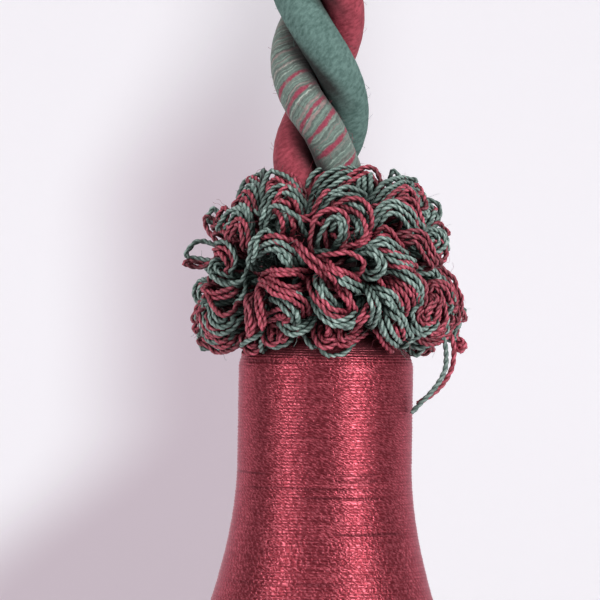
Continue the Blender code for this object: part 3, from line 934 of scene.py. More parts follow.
def wound_thread():
    """Skin of the winding: every turn is a ridge, and the turns run on as one helix."""
    rows, lengths = along_outline()
    radii = [row[0] for row in rows]
    depths = [row[1] for row in rows]
    turns = int(lengths[-1] / THREAD_PITCH) - 1
    spread = np.random.default_rng(5)
    weave = spread.normal(0.0, 1.0, (turns + 2, 5))
    shades = spread.uniform(0.0, 1.0, turns + 2)
    rings, run, side, tone, groove, painted_shade = [], [], [], [], [], []
    for k in range(turns * RIDGE_POINTS + 1):
        turn, across = divmod(k / RIDGE_POINTS, 1.0)
        low = 1.0 - math.sin(math.pi * across)
        ring = []
        for i in range(HEAD_SIDES):
            share = i / HEAD_SIDES
            angle = math.pi / 2 + math.tau * share
            length = min((k / RIDGE_POINTS + share) * THREAD_PITCH, lengths[-1])
            radius = float(np.interp(length, lengths, radii))
            depth = float(np.interp(length, lengths, depths))
            # neighbouring turns lie a little higher, lower, further in or further out
            sway = weave[int(turn)] * (1.0 - share) + weave[int(turn) + 1] * share
            wave = sway[0] * math.sin(angle * 2 + sway[1]) + sway[2] * math.sin(angle * 5)
            drift = TURN_DRIFT * wave
            stand = TURN_STAND * sway[3] - low * THREAD_RISE
            # painted light on the dome's first turns; painted shade in parted places, or a painted
            # highlight where darkness is below 0
            shade = -DOME_PAINTED_LIGHT * clamp((DOME_DEPTH - depth) / DOME_DEPTH)
            for at, gap, darkness, middle, half in PARTED_TURNS:
                swing = degrees_apart(angle, middle)
                away = depth - at
                if swing < half and abs(away) < GAP_REACH:
                    window = darkness * min(1.0, 2.0 * math.cos(math.pi / 2 * swing / half))
                    drift += math.copysign(gap / 2 * window * math.exp(-abs(away) / GAP_FADE), away)
                    near = window * math.exp(-(away / gap) ** 2)
                    stand -= GAP_DEPTH * near
                    shade += near
            ring.append(((radius + stand) * math.cos(angle),
                         (radius + stand) * math.sin(angle), HEAD_TOP - depth - drift))
            run.append(angle * radius)
            side.append(k / RIDGE_POINTS)
            tone.append(shades[int(turn)])
            groove.append(low)
            painted_shade.append(clamp(shade, -1.0))
        rings.append(ring)
    return rings, {"run": run, "side": side, "tone": tone, "groove": groove, "painted_shade": painted_shade}


def head_core():
    """The mould under the thread, a closed turned shape."""
    rings = []
    for radius, depth in along_outline()[0]:
        low = min(depth + (MOULD_INSET if depth < 0.0 else 0.0), HEAD_LENGTH - MOULD_INSET)
        rings.append(round_ring(radius - MOULD_INSET, HEAD_TOP - low, MOULD_SIDES))
    core = ring_skin("head_mould", rings, {}, mould_finish, wrap=False)
    face_out(core, close=True)
    return core


head_mould = head_core()
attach(head_mould, "root")
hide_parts("wound_head")
winding_rings, winding_values = wound_thread()
winding = ring_skin("head_winding", winding_rings, winding_values, satin_thread, wrap=False,
                    climb=RIDGE_POINTS)
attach(winding, "root")
print("winding turns", len(winding_rings) // RIDGE_POINTS, "triangles", len(winding.data.polygons) * 2)

# %% [markdown]
# ## The ruff of loops
# The ruff is made by knotting or winding many loops of plied yarn onto a backing, two dyes
# together. A loop leaves the backing, swings out to its crown and comes back. An arch through
# three points gives that shape: a cubic curve whose middle passes through the crown.


# %% Loops as arches
ENVELOPE = ((-2.0, 15.0), (0.0, 18.3), (4.0, 19.2), (8.0, 18.8), (12.0, 18.2), (16.0, 17.4),
            (20.0, 15.4), (23.0, 12.8), (25.4, 9.5))
YARN_STEP = 0.32
ARCH_STEPS = 8
FOOT_SINK = 0.8               # how deep a yarn's foot lies in the backing's wall
FOOT_SPAN = (1.4, SLEEVE_HEIGHT - 2.6)  # the feet's heights over the head
FOOT_GATHER = 0.75            # the share of its height over the head that a foot keeps,
FOOT_LIFT = 2.8               # and how much is added to it, in mm
LOOP_SWELL = 0.2              # how much wider a loop swells than its feet stand, as a share
LOOP_STRAY = 0.2              # how far a loop's yarns stray to each side, in mm


def envelope(height):
    """How far the crowns stand out at a height over the head."""
    return float(np.interp(height, *zip(*ENVELOPE)))


def arch(start, crown, end, bulge):
    """Points of a loop; bulge is how much wider it swells than its feet, as a share."""
    reach = (crown - (start + end) / 2) * (4 / 3)
    swell = (start - end) * bulge
    first, second = start + reach + swell, end + reach - swell
    points = []
    for i in range(ARCH_STEPS + 1):
        t = i / ARCH_STEPS
        u = 1 - t
        points.append(start * u ** 3 + first * (3 * u * u * t)
                      + second * (3 * u * t * t) + end * t ** 3)
    return points


def foot_on_backing(point):
    """Where a loop's foot meets the backing, straight in from the point and nearer its middle."""
    outward = Vector((point.x, point.y, 0.0)).normalized()
    height = clamp((point.z - HEAD_TOP) * FOOT_GATHER + FOOT_LIFT, *FOOT_SPAN)
    return outward * (SLEEVE_RADIUS - FOOT_SINK) + UP * (HEAD_TOP + height)


def rooted_line(points):
    """A yarn's line through the points, with a foot on the backing at each of its ends."""
    points = [foot_on_backing(points[0]), *points, foot_on_backing(points[-1])]
    return smooth_route(points, YARN_STEP)[0]


def loop_yarns(start, crown, end, colours):
    """Yarns of one loop, nested from the outside in: (colour, line) for each letter."""
    made = []
    inward = ((start + end) / 2 - crown).normalized()
    narrow = (end - start) / 2
    for k, colour in enumerate(colours):
        nest = k * YARN_DIAMETER * pick.uniform(0.95, 1.25)
        share = min(nest / max(narrow.length, 0.5), 0.75)
        shift = Vector((pick.uniform(-LOOP_STRAY, LOOP_STRAY), 0.0,
                        pick.uniform(-LOOP_STRAY, LOOP_STRAY)))
        a = start + narrow * share + shift
        b = end - narrow * share + shift
        points = arch(a, crown + inward * nest + shift, b, LOOP_SWELL + pick.uniform(-0.05, 0.08))
        made.append((colour, rooted_line(points)))
    return made


# %% [markdown]
# ### Loops of the front
# The front loops are drawn on a grid of seven squares to a millimetre, x to the right and y down. Each
# row gives the yarns that lie side by side (G for green, B for burgundy), how far they stand out
# towards the ruff's outside (1 is all the way), and their route on the grid.

# %% Front loops
GRID = 7.0
VIEW_CENTRE = (300.0, 300.0)   # the grid point straight in front of the eye
EYE = (-3.86, 6.66)            # mm right of the tassel's middle and over the head's top
DRAWN_FROM = 550.0             # distance of the eye, in mm
LEAN = math.radians(0.9)       # the tassel is drawn leaning, its top to the right
SIDE_BY_SIDE = 0.97            # spacing of yarns that lie together, in yarn diameters
END_DIVE = 0.22                # how much deeper a route's ends lie than its middle
WANDER = 0.17                  # how far a yarn strays from its route, in mm
FRONT_YARNS = (
    # top left
    ("G", 0.64, ((263, 202), (262, 189), (265, 178), (270, 172), (277, 172), (285, 176), (293, 182),
                 (299, 190), (303, 202))),
    ("B", 0.62, ((267, 196), (268, 186), (271, 180), (278, 180), (285, 184), (292, 189), (297, 197))),
    ("B", 0.52, ((266, 206), (267, 194), (270, 186), (276, 186), (281, 192))),
    ("GG", 0.80, ((264, 216), (266, 204), (270, 195), (277, 190), (286, 190), (294, 194), (301, 200),
                  (305, 209), (306, 221))),
    ("B", 0.80, ((274, 206), (278, 201), (284, 202), (290, 206), (294, 213))),
    ("B", 0.78, ((288, 197), (294, 200), (298, 208), (301, 219))),
    ("G", 0.93, ((267, 230), (269, 217), (271, 209), (276, 205), (284, 209), (291, 213), (298, 219),
                 (302, 226), (305, 234))),
    ("G", 0.86, ((263, 228), (265, 215), (269, 206))),
    ("B", 0.92, ((274, 212), (279, 215), (283, 222), (284, 229), (283, 237))),
    ("B", 0.90, ((287, 214), (291, 219), (294, 225), (294, 230), (292, 236))),
    ("G", 0.85, ((284, 213), (287, 220), (288, 230))),
    ("GGG", 0.56, ((246, 200), (246, 190), (250, 185), (254, 187), (257, 196), (259, 208))),
    ("B", 0.40, ((249, 185), (251, 178), (256, 180), (258, 188), (259, 198))),
    ("BB", 0.66, ((239, 209), (241, 199), (245, 195), (249, 199), (253, 209), (256, 221))),
    ("G", 0.74, ((237, 214), (239, 206), (244, 206), (249, 213), (252, 224), (255, 238))),
    ("GG", 0.72, ((224, 232), (227, 221), (232, 213), (239, 211), (245, 216), (249, 226), (251, 238))),
    ("B", 0.35, ((221, 222), (221, 212), (225, 208), (229, 212), (231, 222))),
    ("G", 0.30, ((212, 222), (211, 212), (213, 208), (218, 212), (224, 220), (230, 228))),
    ("BB", 0.84, ((232, 240), (233, 228), (238, 222), (243, 226), (246, 237), (248, 250))),
    ("BB", 0.62, ((216, 231), (222, 228), (229, 232), (233, 239), (234, 248))),
    # left
    ("B", 0.25, ((220, 264), (217, 252), (216, 242), (211, 235), (206, 228), (204, 221), (206, 217),
                 (211, 218), (215, 222), (218, 228), (222, 234))),
    ("G", 0.25, ((216, 261), (206, 259), (196, 259), (189, 258), (187, 253), (190, 247), (196, 243),
                 (204, 242), (213, 243), (224, 245))),
    ("B", 0.28, ((224, 258), (214, 260), (206, 264), (198, 267), (190, 266), (185, 263), (188, 260),
                 (196, 261))),
    ("G", 0.66, ((220, 243), (226, 241), (231, 246), (235, 255), (236, 265), (234, 274))),
    ("BB", 0.64, ((218, 253), (223, 250), (228, 257), (231, 265), (231, 273))),
    ("GG", 0.55, ((238, 279), (227, 278), (218, 275), (213, 269), (215, 263), (221, 262))),
    ("G", 0.60, ((246, 285), (236, 286), (226, 285), (218, 280), (214, 274))),
    ("G", 0.64, ((252, 266), (247, 275), (240, 281), (231, 283))),
    ("G", 0.60, ((248, 279), (246, 288), (243, 296), (238, 304))),
    ("GG", 0.24, ((210, 302), (201, 302), (197, 296), (197, 289), (201, 284), (207, 282), (214, 281))),
    ("BB", 0.28, ((200, 322), (198, 313), (200, 305), (205, 299), (209, 292), (213, 285), (216, 277))),
    ("B", 0.22, ((207, 316), (201, 324), (197, 332), (195, 328), (197, 320), (202, 310))),
    ("B", 0.70, ((241, 302), (236, 309), (230, 314), (222, 314), (214, 308), (209, 300), (207, 291),
                 (210, 285))),
    ("B", 0.66, ((206, 288), (212, 293), (221, 292), (230, 289), (239, 287))),
    ("B", 0.64, ((214, 297), (224, 297), (234, 293), (242, 289))),
    ("G", 0.64, ((236, 331), (231, 338), (223, 342), (213, 342), (206, 339), (202, 331), (202, 320),
                 (204, 308), (208, 302))),
    ("BB", 0.66, ((228, 327), (221, 332), (213, 332), (207, 328), (205, 319), (208, 310))),
    ("GGG", 0.70, ((238, 314), (232, 322), (224, 327), (216, 326), (210, 319), (209, 309), (212, 303))),
    ("BBB", 0.58, ((239, 332), (234, 341), (227, 346), (218, 346), (211, 342), (206, 336))),
    ("G", 0.20, ((209, 349), (202, 346), (198, 341), (198, 333), (200, 323), (202, 312))),
    # left of the middle
    ("G", 0.97, ((252, 268), (250, 254), (251, 242), (258, 234), (266, 231), (273, 234), (279, 240))),
    ("G", 0.95, ((256, 264), (256, 253), (257, 243), (263, 238))),
    ("BB", 0.94, ((258, 246), (265, 241), (273, 238), (280, 240), (287, 245), (293, 252))),
    ("BB", 0.98, ((286, 242), (294, 244), (301, 249), (307, 256), (313, 262), (321, 270), (328, 278),
                  (334, 287))),
    ("GG", 0.96, ((258, 256), (264, 249), (272, 246), (280, 246), (288, 250), (295, 256), (300, 265))),
    ("GG", 0.94, ((275, 248), (280, 252), (284, 258), (289, 265), (293, 273))),
    ("BB", 0.93, ((266, 278), (271, 273), (280, 273), (291, 272), (300, 272), (306, 275))),
    ("BB", 0.92, ((266, 279), (273, 281), (279, 286), (288, 288), (298, 289), (304, 286))),
    ("BB", 0.95, ((261, 281), (268, 285), (275, 291), (283, 294), (291, 297), (299, 301), (305, 306),
                  (307, 314))),
    ("G", 0.90, ((294, 292), (299, 294), (302, 299))),
    ("GG", 0.91, ((274, 296), (281, 301), (288, 308), (294, 315), (299, 323))),
    ("G", 0.89, ((290, 305), (296, 311), (299, 318), (300, 325))),
    ("GG", 0.88, ((314, 316), (307, 325), (299, 330), (292, 331), (286, 328), (281, 319))),
    ("BB", 0.86, ((269, 318), (276, 314), (284, 313), (288, 317), (282, 321), (273, 321))),
    ("B", 0.90, ((254, 298), (254, 312), (255, 322), (253, 331), (249, 334), (247, 322), (247, 308),
                 (250, 296))),
    ("B", 0.88, ((251, 300), (250, 312), (251, 324), (250, 336))),
    ("B", 0.93, ((264, 302), (264, 312), (265, 321), (262, 328), (259, 321), (258, 308), (258, 296),
                 (261, 284))),
    ("B", 0.91, ((262, 290), (261, 302), (261, 315), (262, 326))),
    ("G", 0.72, ((244, 344), (249, 339), (255, 337), (261, 333), (266, 329))),
    ("G", 0.70, ((266, 330), (263, 337), (262, 344), (264, 350))),
    ("BB", 0.66, ((262, 338), (260, 345), (254, 350), (248, 349), (245, 343), (247, 336))),
    ("BB", 0.74, ((276, 323), (277, 332), (275, 340), (270, 342), (267, 335), (268, 326))),
    ("B", 0.76, ((290, 326), (288, 334), (284, 340), (280, 338), (282, 332), (286, 327))),
    ("G", 0.70, ((295, 329), (292, 338), (288, 343), (281, 347), (274, 346), (269, 342), (267, 334))),
    ("B", 0.60, ((270, 330), (262, 344), (254, 352), (243, 352))),
    # top right
    ("G", 0.50, ((309, 208), (306, 195), (307, 184), (312, 176), (319, 171), (328, 169), (338, 170),
                 (348, 174))),
    ("B", 0.52, ((313, 198), (314, 187), (318, 179), (325, 174), (333, 172), (342, 172))),
    ("GGG", 0.60, ((317, 202), (320, 190), (326, 182), (334, 177), (343, 173), (352, 174), (359, 179))),
    ("BB", 0.62, ((332, 193), (341, 186), (349, 180), (357, 174), (365, 171), (373, 173), (378, 180),
                  (379, 190))),
    ("G", 0.60, ((361, 177), (358, 186), (353, 194))),
    ("GG", 0.62, ((367, 176), (367, 186), (365, 198))),
    ("G", 0.60, ((371, 180), (370, 189), (368, 200))),
    ("GGG", 0.66, ((370, 214), (374, 204), (380, 196), (386, 190), (393, 186), (400, 183), (406, 183),
                   (411, 188))),
    ("B", 0.74, ((379, 212), (385, 203), (391, 195), (397, 190), (404, 187), (410, 189), (413, 195),
                 (414, 202))),
    ("G", 0.72, ((389, 204), (393, 195), (399, 190), (406, 188), (412, 191), (414, 198))),
    ("BB", 0.68, ((396, 207), (401, 197), (407, 193), (412, 198), (414, 206))),
    ("B", 0.42, ((406, 195), (410, 188), (415, 185), (420, 189), (423, 196), (424, 203))),
    ("GG", 0.40, ((411, 204), (414, 195), (418, 192), (421, 198), (421, 207))),
    ("B", 0.46, ((415, 208), (417, 197), (421, 194), (424, 200), (424, 210))),
    ("BB", 0.84, ((383, 211), (391, 204), (400, 202), (409, 203), (416, 208), (418, 215), (420, 223),
                  (421, 232), (420, 241))),
    ("GGG", 0.92, ((371, 233), (374, 223), (379, 215), (386, 209), (394, 207), (401, 210), (408, 216),
                   (413, 224), (416, 234))),
    ("B", 0.90, ((371, 239), (378, 231), (385, 228), (391, 233), (396, 240), (400, 248))),
    ("B", 0.88, ((368, 244), (376, 238), (384, 235), (391, 240))),
    ("BBB", 0.86, ((396, 240), (405, 237), (414, 236), (421, 239), (426, 246), (430, 255), (434, 266))),
    # upper middle
    ("B", 0.98, ((310, 252), (309, 241), (311, 229), (314, 220), (320, 213), (328, 210), (336, 209),
                 (342, 212), (347, 219), (348, 228), (347, 237), (342, 248))),
    ("G", 0.96, ((317, 245), (320, 234), (325, 226), (331, 219), (338, 217), (344, 223), (345, 232),
                 (343, 240), (336, 247))),
    ("G", 0.94, ((330, 222), (337, 221), (340, 228), (340, 236), (335, 243))),
    ("B", 0.92, ((330, 212), (337, 205), (345, 200), (354, 198), (363, 201), (369, 208), (372, 217),
                 (370, 228), (366, 237))),
    ("B", 0.95, ((340, 208), (348, 209), (356, 214), (363, 220), (366, 229), (364, 238), (356, 243),
                 (347, 247), (340, 252))),
    ("B", 0.93, ((352, 249), (360, 245), (367, 239), (369, 231))),
    ("G", 0.90, ((349, 218), (355, 221), (357, 228), (354, 235), (347, 241))),
    ("G", 0.88, ((345, 205), (354, 204), (362, 210), (367, 220))),
    ("G", 0.90, ((358, 218), (361, 226), (361, 234), (355, 241))),
    ("GG", 0.84, ((315, 213), (322, 204), (329, 197), (338, 193), (347, 191), (356, 193), (363, 199))),
    ("GG", 0.96, ((352, 256), (362, 250), (371, 246), (380, 242), (388, 243), (394, 248), (399, 252),
                  (405, 257))),
    ("B", 0.93, ((366, 252), (377, 250), (388, 252), (397, 255), (405, 260))),
    ("GG", 0.94, ((373, 259), (382, 256), (391, 257), (399, 259), (406, 261), (411, 265))),
    ("BB", 0.90, ((380, 262), (390, 263), (400, 264), (408, 265), (413, 270))),
    ("GG", 1.00, ((355, 252), (364, 250), (372, 252), (379, 258), (381, 266), (377, 273), (370, 276),
                  (362, 273))),
    # middle
    ("B", 1.00, ((311, 263), (319, 256), (327, 254), (337, 254), (347, 253), (356, 256), (363, 261),
                 (363, 268), (359, 274), (351, 274))),
    ("BB", 0.99, ((317, 261), (326, 264), (334, 269), (342, 273), (350, 277), (357, 284))),
    ("B", 0.97, ((315, 266), (323, 272), (331, 278), (337, 284), (342, 292))),
    ("GG", 0.97, ((331, 272), (338, 277), (345, 281), (352, 285), (360, 290))),
    ("GG", 0.94, ((338, 310), (333, 303), (327, 297), (322, 290), (319, 283), (319, 276))),
    ("BB", 0.92, ((330, 283), (338, 287), (345, 294), (350, 302), (352, 311), (347, 318))),
    ("BB", 0.96, ((353, 309), (347, 315), (339, 314), (331, 311), (324, 305), (318, 297), (314, 288),
                  (312, 279))),
    ("GG", 0.92, ((361, 299), (358, 310), (352, 318), (344, 322), (335, 322), (326, 318), (319, 310),
                  (315, 301), (314, 293))),
    ("G", 0.88, ((361, 311), (356, 321), (350, 327), (343, 327), (335, 322))),
    ("BB", 0.88, ((371, 299), (368, 309), (363, 318), (356, 324), (348, 328))),
    ("GG", 0.93, ((364, 287), (369, 292), (373, 300), (375, 309), (374, 317), (369, 324))),
    ("GG", 0.95, ((369, 289), (377, 290), (384, 293), (391, 297), (395, 303), (397, 312))),
    ("G", 0.93, ((377, 297), (385, 301), (390, 306), (394, 313))),
    ("GG", 0.88, ((381, 305), (388, 309), (395, 314), (401, 320), (405, 328), (406, 337))),
    ("GG", 0.83, ((380, 308), (383, 318), (387, 328), (391, 336), (397, 343))),
    ("G", 0.80, ((377, 314), (379, 324), (383, 333), (389, 341))),
    ("BB", 0.76, ((372, 318), (377, 327), (381, 335), (386, 342), (393, 348))),
    ("BB", 0.82, ((393, 318), (397, 325), (400, 332), (398, 339))),
    ("GG", 0.90, ((381, 271), (391, 269), (400, 272), (408, 277), (415, 281), (419, 289), (419, 297),
                  (414, 302))),
    ("BB", 0.88, ((387, 277), (397, 279), (405, 284), (411, 290), (415, 298), (412, 307))),
    ("BB", 0.91, ((384, 284), (392, 286), (399, 292), (404, 300), (405, 309), (399, 314))),
    ("B", 0.89, ((376, 277), (380, 282), (384, 290))),
    ("B", 0.80, ((399, 270), (410, 272), (419, 277), (425, 285), (426, 294), (421, 303))),
    ("G", 0.78, ((414, 303), (412, 312), (408, 321))),
    # under the middle
    ("BB", 0.80, ((337, 320), (338, 332), (334, 341), (326, 344), (320, 341), (317, 332), (319, 320))),
    ("BB", 0.78, ((353, 325), (352, 336), (347, 342), (340, 341), (335, 334), (330, 325), (326, 317))),
    ("BB", 0.76, ((364, 328), (358, 337), (351, 339), (344, 336), (337, 329))),
    ("B", 0.82, ((328, 320), (328, 330), (326, 338))),
    ("G", 0.70, ((320, 337), (316, 345), (311, 346), (307, 341), (304, 334), (303, 327))),
    ("G", 0.76, ((357, 337), (352, 346), (345, 353), (336, 356), (327, 354), (321, 347), (319, 338))),
    # right
    ("GGGG", 0.36, ((412, 218), (418, 210), (425, 208), (431, 210), (431, 216), (426, 222),
                    (418, 228))),
    ("B", 0.30, ((424, 233), (431, 227), (438, 224), (443, 229), (445, 236))),
    ("G", 0.30, ((432, 233), (440, 231), (445, 237), (446, 246), (442, 252))),
    ("GGG", 0.46, ((422, 238), (430, 234), (437, 236), (439, 242), (432, 248), (424, 250))),
    ("BBB", 0.36, ((424, 252), (431, 249), (438, 248), (440, 252), (438, 257), (432, 260), (426, 262))),
    ("GG", 0.56, ((402, 268), (411, 270), (420, 271), (428, 272), (434, 272), (436, 277), (428, 278))),
    ("BB", 0.30, ((430, 264), (438, 268), (445, 273), (451, 280), (455, 288), (458, 298), (459, 308),
                  (457, 320))),
    ("GG", 0.38, ((434, 278), (442, 283), (448, 291), (452, 300), (454, 310), (455, 321), (452, 331),
                  (446, 338))),
    ("BB", 0.60, ((423, 291), (430, 284), (438, 283), (446, 287), (451, 294), (453, 302), (447, 308))),
    ("BB", 0.58, ((428, 291), (436, 294), (441, 303), (443, 313), (441, 323), (436, 330))),
    ("G", 0.54, ((447, 304), (448, 314), (446, 324), (442, 332))),
    ("BB", 0.70, ((434, 298), (433, 310), (430, 320), (424, 322), (419, 315), (420, 302))),
    ("B", 0.66, ((428, 300), (427, 311), (425, 320))),
    ("GG", 0.70, ((432, 319), (428, 328), (421, 332), (415, 328), (410, 321), (402, 319))),
    ("BBB", 0.55, ((449, 316), (447, 326), (442, 335), (434, 339), (426, 338), (418, 332), (413, 325))),
    ("BB", 0.52, ((446, 322), (442, 334), (432, 340), (422, 338))),
    ("G", 0.60, ((418, 332), (410, 340), (404, 346), (398, 344))),
    # deep yarns behind the outermost loops
    ("GG", 0.18, ((210, 272), (217, 266), (224, 263), (232, 268))),
    ("B", 0.12, ((209, 261), (217, 267), (226, 272), (236, 274))),
    ("BB", 0.15, ((203, 288), (212, 287), (222, 288), (232, 286))),
    ("GG", 0.15, ((204, 330), (212, 334), (222, 335), (232, 333))),
    ("BG", 0.12, ((240, 196), (246, 202), (250, 212), (252, 224))),
    ("GG", 0.22, ((420, 230), (424, 218), (429, 211), (433, 214), (430, 224))),
    ("B", 0.14, ((418, 226), (424, 221), (430, 215), (432, 208))),
    ("GG", 0.22, ((422, 246), (429, 240), (437, 238), (442, 244), (438, 252))),
    ("BB", 0.25, ((424, 300), (432, 293), (440, 293), (446, 300), (448, 312))),
    ("BB", 0.30, ((424, 290), (434, 286), (443, 291), (449, 300))),
    ("BG", 0.12, ((436, 276), (445, 283), (452, 293), (455, 305), (456, 318))),
    ("BG", 0.16, ((440, 288), (447, 298), (451, 310), (452, 322), (449, 334))),
    ("GB", 0.14, ((455, 308), (457, 319), (455, 330), (450, 338))),
    ("B", 0.25, ((446, 318), (446, 328), (441, 336), (433, 340))),
    ("G", 0.20, ((406, 344), (411, 352), (416, 355), (421, 351), (422, 343))),
    ("GG", 0.34, ((400, 336), (409, 342), (418, 345), (427, 343), (436, 337))),
    ("BB", 0.56, ((284, 183), (291, 188), (298, 195), (303, 206))),
    ("BG", 0.58, ((287, 177), (294, 182), (300, 189), (305, 201))),
)


def grid_spot(spot, reach):
    """A grid spot as a point; reach is the share of its depth on the ruff's outside."""
    across = (spot[0] - VIEW_CENTRE[0]) / GRID
    down = (spot[1] - VIEW_CENTRE[1]) / GRID
    x = across * math.cos(LEAN) + down * math.sin(LEAN)
    z = across * math.sin(LEAN) - down * math.cos(LEAN)
    radius = envelope(z + EYE[1]) - YARN_DIAMETER / 2
    depth = math.sqrt(max(radius * radius - (x + EYE[0]) ** 2, 0.0)) * reach
    # the drawing was made from the front, so a nearer spot is drawn further from its middle
    far = 1.0 - depth / DRAWN_FROM
    return Vector((x * far + EYE[0], -depth, HEAD_TOP + z * far + EYE[1]))


def drawn_yarns(colours, reach, route):
    """Yarns side by side along a drawn route; both of its ends dive into the ruff."""
    made = []
    for k, colour in enumerate(colours):
        aside = (k - (len(colours) - 1) / 2) * YARN_DIAMETER * GRID * SIDE_BY_SIDE
        sink = pick.uniform(-0.3, 0.3)
        points = []
        for i, (x, y) in enumerate(route):
            before = route[max(i - 1, 0)]
            after = route[min(i + 1, len(route) - 1)]
            along = Vector((after[0] - before[0], after[1] - before[1])).normalized()
            spot = (x - along.y * aside, y + along.x * aside)
            share = i / (len(route) - 1)
            point = grid_spot(spot, reach * (1.0 - END_DIVE * (1.0 - math.sin(math.pi * share))))
            stray = Vector((pick.uniform(-WANDER, WANDER), pick.uniform(-0.2, 0.2) + sink,
                            pick.uniform(-WANDER, WANDER)))
            points.append(point + stray)
        made.append((colour, rooted_line(points)))
    return made


pick = random.Random(3)
yarns = []
for colours, reach, route in FRONT_YARNS:
    yarns.extend(drawn_yarns(colours, reach, route))
front_count = len(yarns)
print("front yarns", front_count)

# %% [markdown]
# ### Loops of the sides and the back
# Round the sides and the back the loops follow a rule: tiers of crowns from low to high, spaced
# round the ruff with a seeded unevenness, each tier half a space off the one below.

# %% Side and back loops
# crown height over the head (mm), loops right round, loop width (mm), and how far from the
# front a tier starts (degrees)
BACK_TIERS = (
    (-0.2, 22, 4.6, 72.0),
    (3.8, 22, 5.0, 72.0),
    (8.0, 22, 5.0, 72.0),
    (12.4, 21, 5.0, 72.0),
    (16.8, 20, 4.8, 72.0),
    (20.8, 17, 4.6, 88.0),
    (24.4, 13, 4.0, 108.0),
)
BUNDLES = ("GB", "BG", "BB", "GG", "GGB", "BBG", "G", "B")
FOOT_RADIUS = 11.5            # where a loop's two ends come together, over the backing
HUB_GATHER = 0.78             # the share of its crown's height that this place keeps,
HUB_LIFT = 3.0                # and how much is added to it, in mm
LOWEST_CROWN = -0.6
SIDE_HALF_ANGLE = 125.0       # up to here the loops stay inside the drawn outline,
SIDE_DRAWN_IN = 2.0           # by so many mm,
SIDE_FADE = 25.0              # which fades out over so many degrees

for tier, (height, around, width, first_angle) in enumerate(BACK_TIERS):
    for k in range(around):
        turn = math.tau * (k + 0.5 * (tier % 2) + pick.uniform(-0.25, 0.25)) / around
        from_front = degrees_apart(turn, FRONT)
        colours = pick.choice(BUNDLES)
        crown_height = height + pick.uniform(-1.2, 1.2)
        out = envelope(crown_height) - YARN_DIAMETER / 2 - pick.uniform(0.0, 1.6)
        roll = pick.uniform(-1.2, 1.2)
        spread = width * pick.uniform(0.75, 1.1)
        if from_front < first_angle:
            continue
        out -= SIDE_DRAWN_IN * clamp((SIDE_HALF_ANGLE - from_front) / SIDE_FADE)
        outward, sideways = ways_out(turn)
        crown = outward * out + UP * (HEAD_TOP + max(crown_height, LOWEST_CROWN))
        across = (sideways * math.cos(roll) + UP * math.sin(roll)) * spread / 2
        hub_height = HUB_GATHER * crown_height + HUB_LIFT
        hub = outward * FOOT_RADIUS + UP * (HEAD_TOP + hub_height)
        yarns.extend(loop_yarns(hub - across, crown, hub + across, colours))
print("side and back yarns", len(yarns) - front_count)

# %% [markdown]
# ### Short loops behind the front ones
# Looking between the crowns one sees more yarn, in deep shade. Short loops near the backing stand for
# it, and the backing itself is a sleeve coloured near-black as painted shade.

# %% Inner loops
INNER_LOOPS = 190
GOLDEN_TURN = 0.381966        # the golden share of a turn, which spreads the loops evenly
INNER_RADII = (11.4, 15.6)    # how far out their crowns stand,
INNER_FRONT = 12.4            # how far at most in front,
INNER_DEPTH = 2.2             # and how far inside the outer crowns they stay
INNER_HUB = SLEEVE_RADIUS + 0.4
INNER_HALF_WIDTH = 2.3
# In front they end under the rope's foot, and low down the head's dome shows instead.
INNER_SPAN = (4.0, 20.3)
inner_from = len(yarns)
for k in range(INNER_LOOPS):
    turn = math.tau * (k * GOLDEN_TURN)
    height = 0.9 + (SLEEVE_HEIGHT + 0.3) * (k + 0.5) / INNER_LOOPS
    outward, sideways = ways_out(turn)
    roll = pick.uniform(-1.4, 1.4)
    in_front = outward.y < -0.25
    nearest, furthest = INNER_RADII
    furthest = INNER_FRONT if in_front else furthest
    out = min(pick.uniform(nearest, furthest), envelope(height) - INNER_DEPTH)
    crown = outward * out + UP * (HEAD_TOP + height + pick.uniform(-0.8, 0.8))
    across = (sideways * math.cos(roll) + UP * math.sin(roll)) * INNER_HALF_WIDTH
    hub = outward * INNER_HUB + UP * (HEAD_TOP + height)
    made = loop_yarns(hub - across, crown, hub + across, pick.choice("GB"))
    if not in_front or INNER_SPAN[0] < height < INNER_SPAN[1]:
        yarns.extend(made)
print("inner yarns", len(yarns) - inner_from)

# %% [markdown]
# ### Loose ends
# A green and a burgundy yarn hang out of the ruff at its right, and a short knotted end lies
# beside them.

# %% Loose ends
LOOSE_ENDS = (
    ("G", ((10.0, -3.4, 5.0), (14.4, -3.6, 3.2), (16.6, -4.0, 1.4), (17.0, -3.9, -1.9),
           (16.4, -3.8, -4.0), (15.0, -3.9, -6.1), (13.4, -4.0, -7.8), (12.2, -4.2, -9.1))),
    ("B", ((10.0, -1.6, 6.0), (15.2, -1.8, 4.2), (17.8, -2.0, 1.6), (18.1, -2.0, -1.9),
           (17.2, -2.0, -4.2), (15.9, -2.2, -5.8), (14.4, -2.4, -7.0), (13.0, -2.6, -7.8))),
    ("B", ((10.0, 0.4, 6.0), (15.0, 0.4, 5.4), (17.6, 0.0, 3.4), (18.5, -0.2, 1.7), (19.5, -0.4, 1.2),
           (19.7, -1.0, 0.4), (19.1, -1.1, -0.2), (18.6, -0.5, 0.1), (18.8, 0.1, 0.8),
           (19.4, -0.1, 1.0), (19.8, -0.5, 0.3), (19.3, -0.9, 0.6), (18.9, -0.9, 0.7),
           (19.1, -0.4, -0.2), (19.5, 0.0, -0.3))),
)
loose_from = len(yarns)
for colour, route in LOOSE_ENDS:
    line, _ = smooth_route([Vector((x, y, HEAD_TOP + z)) for x, y, z in route], YARN_STEP)
    yarns.append((colour, line))

# %% Yarn pieces
RUFF_TWIST = (0.275, 0.145, 2.3)  # a ply's radius, its offset and the length of a turn, in mm
PLY_SIDES = 5
